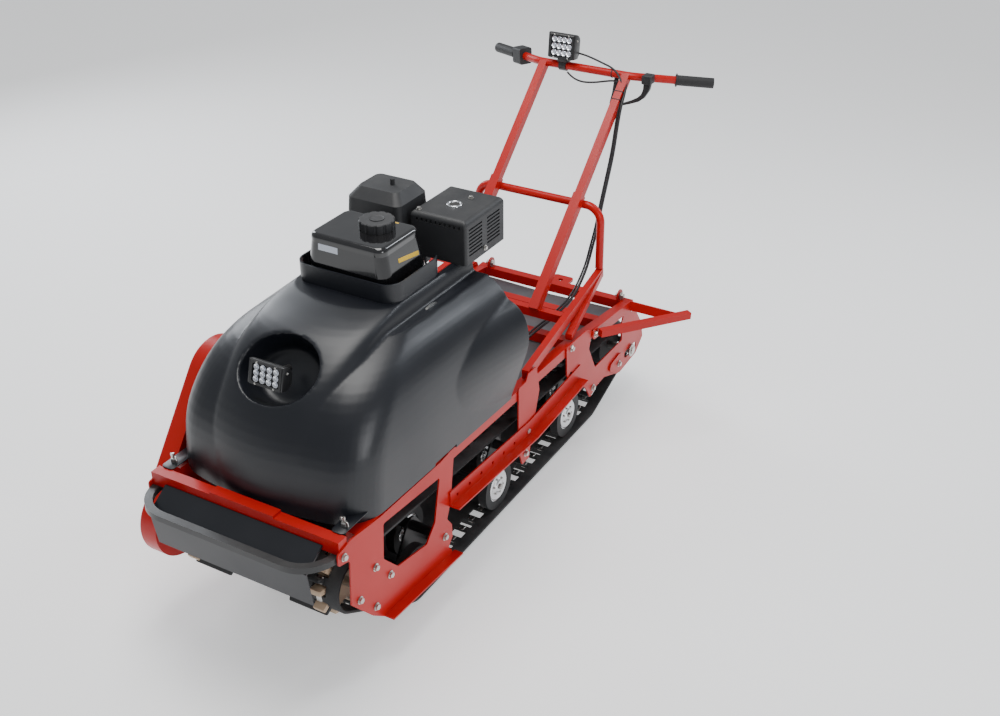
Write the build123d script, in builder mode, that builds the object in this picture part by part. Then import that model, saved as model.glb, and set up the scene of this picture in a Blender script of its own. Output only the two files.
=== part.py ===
"""Tracked snow tug: an engine under a moulded hood on a steel frame over one wide rubber track.

Frame: +X forward, +Y to the vehicle's left, +Z up, millimetres.  The origin is on the ground, under the
middle of the whole machine.  Distances along the machine are given as `back`, measured rearwards from
the centre of the front cross bar, because that is where a frame builder would hook the tape.
"""
from build123d import *
from math import atan2, cos, pi, radians, sin, sqrt
import os

os.makedirs("parts", exist_ok=True)

# Place of the front cross bar along X
front_x = 883.0

# Side frames
inner_half = 280.0          # half the clear width between the two side frames
plate = 4.0                 # thickness of laser-cut plates
flange = 27.0               # width of the bent flanges
outer_half = inner_half + plate
bolt_hole = 10.0
tube = 30.0                 # square frame tube
bar_depth = 30.0            # cross bars, along X
bar_height = 36.0           # cross bars, along Z
fit_gap = 0.3

# Track and wheels
track_half = 250.0          # half the width of the track
belt = 8.0                  # thickness of the rubber belt
lug = 20.0                  # height of a lug
lug_width = 14.0
lug_pitch = 50.5
front_axle_back, front_axle_z = 75.0, 265.0
rear_axle_back, rear_axle_z = 1554.0, 174.0
sprocket_r = 66.0           # where the belt's inner face lies on the sprockets
idler_r = 72.0              # same at the rear idler wheels
wheel_r = 73.0
wheel_width = 26.0
axle_r = 12.5
bogie_trail = 68.0          # wheel axles before and behind the middle of a bogie

# Hood
hood_wall = 4.0

# Steering
leg_y = 143.0               # half the distance between the two handle legs
leg_angle = 43.0            # legs from the horizontal
leg_foot_back, leg_foot_z = 1150.0, 474.0
leg_tube = 25.0
sleeve_tube = 30.0
sleeve_length = 385.0
leg_length = 800.0          # from the foot to the middle of the handlebar
leg_insert = 200.0          # how much of each leg sits in its sleeve when parked
bar_r = 12.5
handle_half = 378.0
handle_sweep, handle_drop = 120.0, 20.6   # ends of the bar behind and under its middle


def at(back, height):
    """A point of a side view, as seen with +X to the right."""
    return (front_x - back, height)


def write(node, name):
    node.part.label = name
    export_step(node.part, f"parts/{name}.step")


def write_pair(node, name):
    """The left piece and its mirror image on the right."""
    write(node, f"{name}_left")
    with BuildPart() as twin:
        add(mirror(node.part, about=Plane.XZ))
    write(twin, f"{name}_right")


def side(y):
    """A side-view plane at this distance to the left; extruding by a negative amount goes left."""
    return Plane.XZ.offset(-y)


# Front plates: nose with the bumper bolt, one window, a flange along the bottom
with BuildPart() as front_plate:
    with BuildSketch(side(inner_half)):
        with BuildLine():
            FilletPolyline(at(-26, 404), at(-26, 436), at(30, 446), at(140, 434), at(400, 428), at(448, 432),
                           at(466, 404), at(452, 310), at(440, 262), at(428, 235), at(450, 205), at(452, 164),
                           at(430, 140), at(459, 110), at(135, 133), at(88, 172), at(10, 263), at(17, 392),
                           radius=8, close=True)
        make_face()
        with BuildLine():
            FilletPolyline(at(152, 407), at(145, 306), at(202, 243), at(330, 220), at(372, 262), at(399, 385),
                           radius=6, close=True)
        make_face(mode=Mode.SUBTRACT)
        with Locations(at(-5, 418), at(110, 306), at(167, 243), at(42, 256), at(103, 190), at(414, 188)):
            Circle(bolt_hole / 2, mode=Mode.SUBTRACT)
    extrude(amount=-plate)
    with BuildSketch(side(outer_half)):
        with BuildLine():
            Polyline(at(135, 133), at(459, 110), at(459, 110 + plate), at(135, 133 + plate), close=True)
        make_face()
    extrude(amount=-flange)
write_pair(front_plate, "front_plate")

# Long channels: a web with a row of holes and an outward flange, in two straight stretches
channel_line = (("back", "web_low", "web_high"), (440, 268, 314), (864, 240, 290), (1180, 262, 312))
with BuildPart() as channel:
    (b0, l0, h0), (b1, l1, h1), (b2, l2, h2) = channel_line[1:]
    with BuildSketch(side(outer_half + fit_gap)):
        with BuildLine():
            Polyline(at(b0, l0), at(b1, l1), at(b2, l2), at(b2, h2), at(b1, h1), at(b0, h0), close=True)
        make_face()
        with Locations(*[at(475 + 60 * i, 287 - 3.9 * i) for i in range(6)]):
            Circle(bolt_hole / 2, mode=Mode.SUBTRACT)
    extrude(amount=-plate)
    with BuildSketch(side(outer_half + fit_gap + plate)):
        with BuildLine():
            Polyline(at(b0, l0), at(b1, l1), at(b2, l2), at(b2, l2 + plate), at(b1, l1 + plate),
                     at(b0, l0 + plate), close=True)
        make_face()
    extrude(amount=-flange)
write_pair(channel, "side_channel")


def disc(back, height, y, radius, length):
    """A round bar across the machine, from y towards the left, added to the open part."""
    with BuildSketch(side(y)) as end:
        with Locations(at(back, height)):
            Circle(radius)
    extrude(end.sketch, amount=-length)


def strut(start, end, width, height):
    """A straight rectangular bar between two points, added to the open part."""
    way = Vector(*end) - Vector(*start)
    with BuildSketch(Plane(origin=start, x_dir=Vector(0, 0, 1).cross(way), z_dir=way)) as end:
        Rectangle(width, height)
    extrude(end.sketch, amount=way.length)


# Top rails: one square tube a side, level under the hood, falling from the rear plate to the tail
rail_line = (("back", "top"), (52, 441), (1110, 408), (1536, 352))
rail_inner = inner_half - fit_gap - tube
with BuildPart() as rail:
    (b0, t0), (b1, t1), (b2, t2) = rail_line[1:]
    with BuildSketch(side(rail_inner)):
        with BuildLine():
            Polyline(at(b0, t0), at(b1, t1), at(b2, t2), at(b2, t2 - tube), at(b1, t1 - tube),
                     at(b0, t0 - tube), close=True)
        make_face()
    extrude(amount=-tube)
write_pair(rail, "top_rail")

# Upright plates that carry the braces, with an ear for the middle bogie
with BuildPart() as t_plate:
    with BuildSketch(side(inner_half)):
        with BuildLine():
            FilletPolyline(at(806, 427), at(846, 427), at(860, 446), at(908, 446), at(919, 396), at(926, 361), at(900, 283), at(878, 205),
                           at(868, 162), at(828, 162), at(806, 234), radius=6, close=True)
        make_face()
        with Locations(at(856, 262), at(847, 191)):
            Circle(bolt_hole / 2, mode=Mode.SUBTRACT)
    extrude(amount=-plate)
write_pair(t_plate, "t_plate")

# Rear plates: a window, the slot of the rear axle and a gusset for the last bogie
with BuildPart() as rear_plate:
    with BuildSketch(side(inner_half)):
        with BuildLine():
            FilletPolyline(at(1092, 412), at(1217, 408), at(1262, 388), at(1242, 334), at(1290, 245),
                           at(1485, 245), at(1478, 312), at(1500, 352), at(1560, 338), at(1636, 236),
                           at(1650, 180), at(1600, 140), at(1480, 128), at(1428, 147), at(1360, 172),
                           at(1300, 168), at(1262, 150), at(1240, 186), at(1191, 247), at(1124, 318),
                           at(1099, 300), radius=7, close=True)
        make_face()
        with Locations(at(1123, 396), at(1274, 372), at(1278, 178), at(1456, 174)):
            Circle(bolt_hole / 2, mode=Mode.SUBTRACT)
        with Locations(at(rear_axle_back, rear_axle_z)):
            SlotOverall(90, 2 * axle_r + 1, mode=Mode.SUBTRACT)
    extrude(amount=-plate)
write_pair(rear_plate, "rear_plate")

# Front cross bar with its raised middle tab
with BuildPart() as front_bar:
    with BuildSketch(Plane.YZ.offset(front_x - bar_depth / 2)):
        with Locations((0, 444)):
            Rectangle(2 * (inner_half - fit_gap), bar_height)
        with Locations((0, 444 + bar_height / 2)):
            Rectangle(190, 12)
    extrude(amount=bar_depth)
write(front_bar, "front_bar")

# Deck bars between the top rails, and the rear bar that caps them
deck_bars = (("back", "top"), (1160, 401), (1360, 375))
with BuildPart() as deck_bar:
    for back, top in deck_bars[1:]:
        with BuildSketch(Plane.YZ.offset(front_x - back - bar_depth / 2)):
            with Locations((0, top - tube / 2)):
                Rectangle(2 * (rail_inner - fit_gap), tube)
        extrude(amount=bar_depth)
write(deck_bar, "deck_bars")

ear_r = 20.0
ear_inset = 40.0            # outer face of an ear in from the end of the rear bar
rail_end, rail_end_top = rail_line[-1]
with BuildPart() as rear_bar:
    with BuildSketch(Plane.YZ.offset(front_x - rail_end - bar_depth - fit_gap)):
        with Locations((0, rail_end_top - tube / 2)):
            Rectangle(2 * inner_half, tube)
    extrude(amount=bar_depth)
    for y in (ear_inset - inner_half, inner_half - ear_inset - plate):
        with BuildSketch(side(y)):
            with Locations(at(rail_end + bar_depth / 2, rail_end_top + ear_r * 0.6)):
                Circle(ear_r)
                Circle(bolt_hole / 2, mode=Mode.SUBTRACT)
        extrude(amount=-plate)
write(rear_bar, "rear_bar")

# Deck sheet under the bars, creased along the middle
with BuildPart() as deck:
    half = rail_inner - fit_gap
    for back, top in ((1534, 321.7), (760, 416.2)):
        with BuildSketch(Plane.YZ.offset(front_x - back)):
            with BuildLine():
                Polyline((-half, top - 2), (0, top - 9), (half, top - 2), (half, top), (0, top - 7), (-half, top),
                         close=True)
            make_face()
    loft()
write(deck, "deck_sheet")

# Engine bed: two cross angles between the top rails and a plate on stands
bed_z = 600.0
bed_backs = (430.0, 700.0)
bed_half = 110.0
with BuildPart() as bed:
    for back in bed_backs:
        top = 441 - (back - 52) * (441 - 408) / (1110 - 52)
        with BuildSketch(Plane.YZ.offset(front_x - back - tube / 2)):
            with Locations((0, top - tube / 2)):
                Rectangle(2 * (rail_inner - fit_gap), tube)
            with BuildLine():
                for s in (-1, 1):
                    Polyline((s * bed_half, bed_z - 5), (s * (bed_half + 60), top - 1),
                             (s * (bed_half + 30), top - 1), (s * (bed_half - 30), bed_z - 5), close=True)
            make_face()
        extrude(amount=tube)
    with BuildSketch(Plane.XY.offset(bed_z - 6)):
        with Locations((front_x - (bed_backs[0] + bed_backs[1]) / 2, 0)):
            RectangleRounded(bed_backs[1] - bed_backs[0] + 60, 2 * bed_half + 20, 12)
    extrude(amount=6)
write(bed, "engine_bed")

# Engine: crankcase, cylinder leaning back with cooling fins, head
crank_back, crank_z = 545.0, 712.0
engine_top = 812.0
with BuildPart() as engine:
    with BuildSketch(side(-95)):
        with BuildLine():
            FilletPolyline(at(460, bed_z), at(640, bed_z), at(650, 760), at(600, engine_top),
                           at(470, engine_top), at(450, 700),
                           radius=14, close=True)
        make_face()
    extrude(amount=-190)
    fin_axis = Plane(origin=(front_x - 640, 0, 700), x_dir=(0, 1, 0), z_dir=(-cos(radians(25)), 0, sin(radians(25))))
    with BuildSketch(fin_axis):
        Rectangle(96, 96)
    extrude(amount=118)
    for i in range(7):
        with BuildSketch(fin_axis.offset(18 + i * 13)):
            RectangleRounded(146, 132, 14)
        extrude(amount=4)
    disc(crank_back, crank_z, 90, 12.5, 60)
write(engine, "engine_block")

with BuildPart() as recoil:
    disc(crank_back, crank_z, -150, 88, 55 - fit_gap)
    fillet(recoil.edges().filter_by(GeomType.CIRCLE).sort_by(Axis.Y)[0], 18)
    with BuildSketch(side(-158)):
        with Locations(at(crank_back, crank_z)):
            Circle(38)
    extrude(amount=-10)
write(recoil, "recoil_starter")

# Fuel tank: flared pressing with a flat top, filler cap off the middle
tank_back, tank_low, tank_height = 530.0, engine_top + fit_gap, 139.7
tank_top = tank_low + tank_height
with BuildPart() as tank:
    with BuildSketch(Plane.XY.offset(tank_low)):
        with Locations((front_x - 536, 0)):
            RectangleRounded(196, 262, 34)
    with BuildSketch(Plane.XY.offset(tank_top - 22)):
        with Locations((front_x - tank_back, 0)):
            RectangleRounded(170, 222, 26)
    loft()
    with BuildSketch(Plane.XY.offset(tank_top - 22)):
        with Locations((front_x - tank_back, 0)):
            RectangleRounded(170, 222, 26)
    extrude(amount=22)
    fillet(tank.faces().sort_by(Axis.Z)[-1].edges(), 12)
write(tank, "fuel_tank")

with BuildPart() as cap:
    with BuildSketch(Plane.XY.offset(tank_top + fit_gap)):
        with Locations((front_x - 552, 24)):
            Circle(45)
            with PolarLocations(47, 12):
                Circle(5, mode=Mode.SUBTRACT)
    extrude(amount=24)
    chamfer(cap.faces().sort_by(Axis.Z)[-1].edges(), 2)
write(cap, "fuel_cap")

port_z = 803.2              # top of the last cooling fin, where the ports come out
with BuildPart() as cleaner:
    with BuildSketch(Plane.XY.offset(858)):
        with Locations((front_x - 742, -76)):
            RectangleRounded(150, 176, 22)
    with BuildSketch(Plane.XY.offset(952)):
        with Locations((front_x - 742, -76)):
            RectangleRounded(138, 164, 20)
    with BuildSketch(Plane.XY.offset(978)):
        with Locations((front_x - 746, -76)):
            RectangleRounded(96, 122, 16)
    loft(ruled=True)
    with BuildSketch(Plane.XY.offset(978)):
        with Locations((front_x - 746, -60)):
            Circle(6)
    extrude(amount=16)
    with BuildSketch(Plane.XY.offset(port_z)):
        with Locations((front_x - 711, -45)):
            RectangleRounded(28, 44, 6)
    extrude(amount=858 - port_z)
write(cleaner, "air_cleaner")

guard_back = (697.0, 894.0)
guard_y = (22.0, 190.0)
guard_z = (822.0, 942.0)
with BuildPart() as muffler:
    with BuildSketch(Plane.XY.offset(guard_z[0])):
        with Locations((front_x - sum(guard_back) / 2, sum(guard_y) / 2)):
            RectangleRounded(guard_back[1] - guard_back[0], guard_y[1] - guard_y[0], 8)
    extrude(amount=guard_z[1] - guard_z[0])
    fillet(muffler.faces().sort_by(Axis.Z)[-1].edges(), 14)
    for column in range(2):
        for row in range(8):
            with BuildSketch(side(guard_y[1] + 1)):
                with Locations(at(745 + column * 90, guard_z[0] + 24 + row * 10)):
                    SlotOverall(66, 5)
            extrude(amount=5, mode=Mode.SUBTRACT)
    with BuildSketch(Plane.XY.offset(port_z)):
        with Locations((front_x - 711, 45)):
            RectangleRounded(28, 44, 6)
    extrude(amount=guard_z[0] - port_z)
    for slot in range(10):
        with BuildSketch(Plane.YZ.offset(front_x - guard_back[0] - 4)):
            with Locations((guard_y[0] + 22 + slot * 14, guard_z[1] - 18)):
                Rectangle(7, 9)
        extrude(amount=6, mode=Mode.SUBTRACT)
write(muffler, "muffler_guard")

# Belt drive on the left, and the jackshaft across to the chain case
jack_back, jack_z = 300.0, 560.0
pulley_y = 152.0
pulleys = (("back", "z", "radius"), (crank_back, crank_z, 70.0), (jack_back, jack_z, 92.0))
groove = 18.0
with BuildPart() as drive:
    for back, height, radius in pulleys[1:]:
        disc(back, height, pulley_y, radius, 6)
        disc(back, height, pulley_y, radius - groove, 30)
        disc(back, height, pulley_y + 24, radius, 6)
write(drive, "pulleys")

with BuildPart() as belt_loop:
    with BuildSketch(side(pulley_y + 6 + fit_gap)) as belt_side:
        for back, height, radius in pulleys[1:]:
            with Locations(at(back, height)):
                Circle(radius - 4)
        make_hull()
        with BuildSketch(mode=Mode.PRIVATE) as belt_inside:
            for back, height, radius in pulleys[1:]:
                with Locations(at(back, height)):
                    Circle(radius - groove + fit_gap)
            make_hull()
        add(belt_inside.sketch, mode=Mode.SUBTRACT)
    extrude(amount=-18 + 2 * fit_gap)
write(belt_loop, "drive_belt")

case_y = 56.0               # depth of the chain case outside the right frame
case_r = 106.0
with BuildPart() as case:
    with BuildSketch(side(-outer_half - fit_gap)):
        with Locations(at(jack_back, jack_z), at(front_axle_back, front_axle_z)):
            Circle(case_r)
        make_hull()
    extrude(amount=case_y)
    fillet(case.faces().sort_by(Axis.Y)[0].edges(), 8)
write(case, "chain_case")

with BuildPart() as jackshaft:
    disc(jack_back, jack_z, -outer_half, axle_r, outer_half + pulley_y - fit_gap)
write(jackshaft, "jackshaft")

# Drive axle across the nose with two toothed sprockets
sprocket_teeth = 8
sprocket_width = 34.0
with BuildPart() as drive_axle:
    disc(front_axle_back, front_axle_z, -inner_half + fit_gap, axle_r, 2 * (inner_half - fit_gap))
    for y in (-inner_half + fit_gap, inner_half - fit_gap - 14):
        disc(front_axle_back, front_axle_z, y, 46, 14)
write(drive_axle, "drive_axle")

with BuildPart() as sprockets:
    for y in (-195, 195):
        with BuildSketch(side(y - sprocket_width / 2)):
            with Locations(at(front_axle_back, front_axle_z)):
                Circle(sprocket_r - 10)
                with PolarLocations(sprocket_r - 12, sprocket_teeth):
                    Rectangle(20, 22)
                Circle(axle_r + fit_gap, mode=Mode.SUBTRACT)
        extrude(amount=-sprocket_width)
write(sprockets, "drive_sprockets")

with BuildPart() as rear_axle:
    disc(rear_axle_back, rear_axle_z, -outer_half - 12, axle_r, 2 * outer_half + 24)
    for s in (-1, 1):
        with BuildSketch(side(s * outer_half + (0 if s > 0 else -8))):
            with Locations(at(rear_axle_back, rear_axle_z)):
                RegularPolygon(17, 6)
        extrude(amount=-8)
write(rear_axle, "rear_axle")

idler_ys = (195.0, 65.0)
with BuildPart() as idlers:
    for y in idler_ys:
        for s in (-1, 1):
            with BuildSketch(side(s * y - wheel_width / 2)):
                with Locations(at(rear_axle_back, rear_axle_z)):
                    Circle(idler_r - fit_gap)
                    Circle(axle_r + fit_gap, mode=Mode.SUBTRACT)
            extrude(amount=-wheel_width)
write(idlers, "idler_wheels")

# Bogies: a cross tube bolted between the frames, arms, and an axle before and behind it
bogie_backs = (414.0, 847.0, 1278.0)
bogie_z = 188.0
axle_z = belt + lug + wheel_r
arm_y = 180.0
with BuildPart() as bogies:
    for back in bogie_backs:
        disc(back, bogie_z, -inner_half + fit_gap, 14, 2 * (inner_half - fit_gap))
        for reach in (-bogie_trail, bogie_trail):
            disc(back + reach, axle_z, -240, 8, 480)
        for s in (-1, 1):
            with BuildSketch(side(s * arm_y - 3)):
                with Locations(at(back, bogie_z)):
                    Circle(24)
                with Locations(at(back - bogie_trail, axle_z), at(back + bogie_trail, axle_z)):
                    Circle(16)
                make_hull()
            extrude(amount=-6)
write(bogies, "bogies")

hub_r = 48.0
outer_wheel_y, inner_wheel_y = 222.0, 110.0
wheel_places = [(back - bogie_trail, y) for back in bogie_backs for y in (-outer_wheel_y, outer_wheel_y)]
wheel_places += [(back + bogie_trail, y) for back in bogie_backs for y in (-inner_wheel_y, inner_wheel_y)]
with BuildPart() as tyres:
    for back, y in wheel_places:
        with BuildSketch(side(y - wheel_width / 2)):
            with Locations(at(back, axle_z)):
                Circle(wheel_r - fit_gap)
                Circle(hub_r, mode=Mode.SUBTRACT)
        extrude(amount=-wheel_width)
write(tyres, "road_tyres")

with BuildPart() as hubs:
    for back, y in wheel_places:
        with BuildSketch(side(y - wheel_width / 2 + 2)):
            with Locations(at(back, axle_z)):
                Circle(hub_r - fit_gap)
                Circle(8 + fit_gap, mode=Mode.SUBTRACT)
        extrude(amount=4 - wheel_width)
write(hubs, "wheel_hubs")

# Track: one wide belt round the sprockets, wheels and idlers, a lug at every pitch
rounds = (("back", "z", "radius"), (front_axle_back, front_axle_z, sprocket_r),
          (bogie_backs[0] - bogie_trail, axle_z, wheel_r), (bogie_backs[-1] + bogie_trail, axle_z, wheel_r),
          (rear_axle_back, rear_axle_z, idler_r))
with BuildPart() as track:
    with BuildSketch(side(-track_half)):
        for back, height, radius in rounds[1:]:
            with Locations(at(back, height)):
                Circle(radius + belt)
        belt_path = make_hull().wires()[0]
        lug_count = round(belt_path.length / lug_pitch)
        for i in range(lug_count):
            spot, way = belt_path @ (i / lug_count), belt_path % (i / lug_count)
            out = Vector(way.Y, -way.X, 0)
            if out.dot(spot - Vector(*at(800, 180))) < 0:
                out = -out
            with BuildLine():
                foot, tip = spot - out * 1, spot + out * lug
                Polyline(foot - way * lug_width / 2, tip - way * lug_width / 3, tip + way * lug_width / 3,
                         foot + way * lug_width / 2, close=True)
            make_face()
        with BuildSketch(mode=Mode.PRIVATE) as belt_inner:
            for back, height, radius in rounds[1:]:
                with Locations(at(back, height)):
                    Circle(radius)
            make_hull()
        add(belt_inner.sketch, mode=Mode.SUBTRACT)
    extrude(amount=-2 * track_half)
write(track, "track")


# Hood: a moulded shell, lofted through level sections, open below and behind
hood_rear = 772.0
hood_sections = (
    # z, front back, half width at the nose, half width at the rear, corner radius, nose radius
    (400, 24, 264, 270, 150, 420),
    (500, 26, 267, 296, 150, 430),
    (600, 46, 267, 308, 150, 420),
    (690, 92, 262, 292, 145, 400),
    (765, 160, 236, 244, 135, 330),
    (812, 262, 188, 190, 110, 260),
)


def hood_plan(front_back, half, rear_half, corner, nose, rear, inset=0.0):
    """Level section of the hood: sides that spread to the rear, a three-centred nose."""
    w, w_rear, rc, rn = half - inset, rear_half - inset, corner - inset, nose - inset
    tip = front_x - front_back - inset
    nose_x = tip - rn
    corner_x = nose_x + sqrt((rn - rc) ** 2 - (w - rc) ** 2)
    turn = atan2(w - rc, corner_x - nose_x)
    join = (nose_x + rn * cos(turn), rn * sin(turn))
    bend = (pi / 2 + turn) / 2
    mid = (corner_x + rc * cos(bend), w - rc + rc * sin(bend))
    with BuildLine() as outline:
        Line((front_x - rear, -w_rear), (front_x - rear, w_rear))
        Line((front_x - rear, w_rear), (corner_x, w))
        ThreePointArc((corner_x, w), mid, join)
        ThreePointArc(join, (tip, 0), (join[0], -join[1]))
        ThreePointArc((join[0], -join[1]), (mid[0], -mid[1]), (corner_x, -w))
        Line((corner_x, -w), (front_x - rear, -w_rear))
    return outline.line


def hood_body(inset, rear):
    sections = []
    for z, front_back, half, rear_half, corner, nose in hood_sections:
        with BuildSketch(Plane.XY.offset(z - (inset if z > 800 else 0))) as level:
            add(hood_plan(front_back, half, rear_half, corner, nose, rear, inset))
            make_face()
        sections.append(level.sketch.faces()[0])
    return loft(sections, mode=Mode.PRIVATE)


bowl = Plane(origin=(front_x - 118, 0, 742), x_dir=(0, 1, 0), z_dir=(cos(radians(38)), 0, sin(radians(38))))
bowl_width, bowl_height, bowl_depth = 176.0, 168.0, 78.0
collar_top = 856.0
opening_half = 136.0
with BuildPart() as hood:
    add(hood_body(0, hood_rear))
    with BuildPart(mode=Mode.PRIVATE) as cavity:
        add(hood_body(hood_wall, hood_rear + 20))
        with BuildSketch(bowl.offset(-bowl_depth - hood_wall)):
            Ellipse(bowl_width / 2 + hood_wall, bowl_height / 2 + hood_wall)
        extrude(amount=200, mode=Mode.SUBTRACT)
    add(cavity.part, mode=Mode.SUBTRACT)
    with BuildSketch(bowl.offset(-bowl_depth)):
        Ellipse(bowl_width / 2 - 10, bowl_height / 2 - 10)
    with BuildSketch(bowl.offset(60)):
        Ellipse(bowl_width / 2 + 8, bowl_height / 2 + 8)
    loft(mode=Mode.SUBTRACT)
    with BuildSketch(Plane.XY.offset(807)):
        with Locations((front_x - 555, 0)):
            RectangleRounded(268, 2 * opening_half + 24, 40)
    extrude(amount=collar_top - 807)
    with BuildSketch(Plane.XY.offset(700)):
        with Locations((front_x - 640, 0)):
            RectangleRounded(416, 2 * opening_half + 8, 34)
    extrude(amount=200, mode=Mode.SUBTRACT)
    # a notch on the right for the shaft to the chain case
    with BuildSketch(side(-inner_half)):
        with Locations(at(jack_back, jack_z)):
            Circle(axle_r + 8)
    extrude(amount=-40, mode=Mode.SUBTRACT)
    # the lower edge follows the top rails
    with BuildSketch(side(-400)):
        with BuildLine():
            Polyline(at(-100, 380), at(-100, 446.1), at(20, 442.3), at(hood_rear + 40, 417.6), at(hood_rear + 40, 380),
                     close=True)
        make_face()
    extrude(amount=-800, mode=Mode.SUBTRACT)
    with BuildSketch(Plane.XY.offset(462 + fit_gap)):
        with Locations((front_x - 66.8, 0)):
            Rectangle(103, 2 * 274)
        with BuildSketch(mode=Mode.PRIVATE) as bare:
            add(hood_plan(25, 266, 284, 150, 420, 300, 2))
            make_face()
        add(bare.sketch, mode=Mode.SUBTRACT)
        with Locations((front_x - 42, 256), (front_x - 42, -256)):
            Circle(4, mode=Mode.SUBTRACT)
    extrude(amount=3)
write(hood, "hood")


def lamp_pod(plane, width, height, depth):
    """A finned aluminium lamp pod facing along the plane's normal, with two rows or more of lenses."""
    with BuildSketch(plane) as body:
        RectangleRounded(width, height, 6)
    extrude(body.sketch, amount=-depth)
    with BuildSketch(plane) as face:
        Rectangle(width - 22, height - 10)
    extrude(face.sketch, amount=-4, mode=Mode.SUBTRACT)
    with BuildSketch(plane.offset(-depth)) as fins:
        with GridLocations(width / 9, 0, 8, 1):
            Rectangle(3, height - 8)
    extrude(fins.sketch, amount=-8)


lamp_face = Plane(origin=(front_x - 118, 0, 748), x_dir=(0, 1, 0), z_dir=(1, 0, 0.28))
lamp_stem = 41.4
with BuildPart() as hood_lamp:
    lamp_pod(lamp_face, 100, 60, 34)
    with BuildSketch(lamp_face.offset(-42)):
        Circle(9)
    extrude(amount=-lamp_stem)
write(hood_lamp, "hood_lamp")

apron_half = inner_half - 46
with BuildPart() as apron:
    with BuildSketch(side(-apron_half)):
        with BuildLine():
            Polyline(at(-15.3, 440), at(-15.3, 434), at(-78, 397), at(-64, 300), at(-67, 300), at(-81.5, 399.5),
                     at(-18, 441), close=True)
        make_face()
    extrude(amount=-2 * apron_half)
write(apron, "front_apron")

bumper_z, bumper_reach, bumper_half = 417.5, 96.0, inner_half - 11
with BuildPart() as bumper:
    with BuildLine():
        FilletPolyline((front_x - 14, -bumper_half, bumper_z), (front_x + bumper_reach, -bumper_half, bumper_z),
                       (front_x + bumper_reach, bumper_half, bumper_z), (front_x - 14, bumper_half, bumper_z),
                       radius=88)
    with BuildSketch(Plane(origin=(front_x - 14, -bumper_half, bumper_z), x_dir=(0, 1, 0), z_dir=(1, 0, 0))):
        Rectangle(20, 16)
    sweep()
write(bumper, "bumper_hoop")

# Steering: two square sleeves stand on a bar between the braces, with a hoop behind them
leg_way = Vector(-cos(radians(leg_angle)), 0, sin(radians(leg_angle)))
leg_base = Vector(front_x - leg_foot_back, 0, leg_foot_z)


def along_leg(distance, y):
    return leg_base + leg_way * distance + Vector(0, y, 0)


def leg_plane(distance, y):
    return Plane(origin=along_leg(distance, y), x_dir=(0, 1, 0), z_dir=leg_way)


hoop_y, hoop_r = inner_half - 66, 12.5
hoop_top = 368.0
foot_bar_half = hoop_y + 16
brace_top = (front_x - leg_foot_back - 290, hoop_y, leg_foot_z + 31)
with BuildPart() as column:
    for y in (-leg_y, leg_y):
        with BuildSketch(leg_plane(0, y)):
            Rectangle(sleeve_tube, sleeve_tube)
        extrude(amount=sleeve_length)
        with BuildSketch(leg_plane(20, y)):
            Rectangle(leg_tube + 2 * fit_gap, leg_tube + 2 * fit_gap)
        extrude(amount=sleeve_length, mode=Mode.SUBTRACT)
    with BuildSketch(side(-foot_bar_half)):
        with Locations(at(leg_foot_back + 14, leg_foot_z - 12)):
            Rectangle(26, 26)
    extrude(amount=-2 * foot_bar_half)
    behind = Vector(-sin(radians(leg_angle)), 0, -cos(radians(leg_angle))) * (sleeve_tube / 2 + hoop_r - 1)
    top = along_leg(hoop_top, 0) + behind
    with BuildLine():
        FilletPolyline((brace_top[0], -hoop_y, brace_top[2]), (top.X, -hoop_y, top.Z), (top.X, hoop_y, top.Z),
                       (brace_top[0], hoop_y, brace_top[2]), radius=50)
    with BuildSketch(Plane(origin=(brace_top[0], -hoop_y, brace_top[2]),
                           z_dir=(top.X - brace_top[0], 0, top.Z - brace_top[2]))):
        Circle(hoop_r)
    sweep()
write(column, "handle_column")

with BuildPart() as brace:
    strut((front_x - 868, inner_half - 10.4, 435), (brace_top[0] - 6, hoop_y + 2, brace_top[2] - 15.6), 20, 30)
    strut((front_x - 1138, inner_half - 14, 421), (brace_top[0] - 6, hoop_y + 2, brace_top[2] - 18), 20, 22)
write_pair(brace, "brace")

# Handlebar: legs that slide in the sleeves and are pinned through holes, under one bent bar
bar_back = leg_foot_back + leg_length * cos(radians(leg_angle))
bar_z = leg_foot_z + leg_length * sin(radians(leg_angle))
bend_y = leg_y + 16         # where the bar turns back to its ends
end_x, end_z = front_x - bar_back - handle_sweep, bar_z - handle_drop
with BuildPart() as handlebar:
    for y in (-leg_y, leg_y):
        with BuildSketch(leg_plane(sleeve_length - leg_insert, y)):
            Rectangle(leg_tube, leg_tube)
        extrude(amount=leg_length - sleeve_length + leg_insert)
    with BuildLine() as bar_line:
        FilletPolyline((end_x, -handle_half, end_z), (front_x - bar_back, -bend_y, bar_z),
                       (front_x - bar_back, bend_y, bar_z), (end_x, handle_half, end_z), radius=70)
    with BuildSketch(Plane(origin=bar_line.line @ 0, z_dir=bar_line.line % 0)):
        Circle(bar_r)
    sweep()
write(handlebar, "handlebar")

grip_r, grip_length = 16.0, 118.0
grip_gap = fit_gap
with BuildPart() as grip:
    end = Vector(end_x, handle_half, end_z)
    way = (Vector(front_x - bar_back, bend_y, bar_z) - end).normalized()
    with BuildSketch(Plane(origin=end - way * 4, z_dir=way)):
        Circle(grip_r)
        Circle(bar_r + grip_gap, mode=Mode.SUBTRACT)
    extrude(amount=grip_length)
write_pair(grip, "grip")

with BuildPart() as control:
    end = Vector(end_x, -handle_half, end_z)
    way = (Vector(front_x - bar_back, -bend_y, bar_z) - end).normalized()
    with BuildSketch(Plane(origin=end + way * (grip_length + 2), x_dir=Vector(0, 0, 1).cross(way), z_dir=way)):
        RectangleRounded(46, 52, 8)
        Circle(bar_r + grip_gap, mode=Mode.SUBTRACT)
    extrude(amount=44)
write(control, "throttle_housing")

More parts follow.
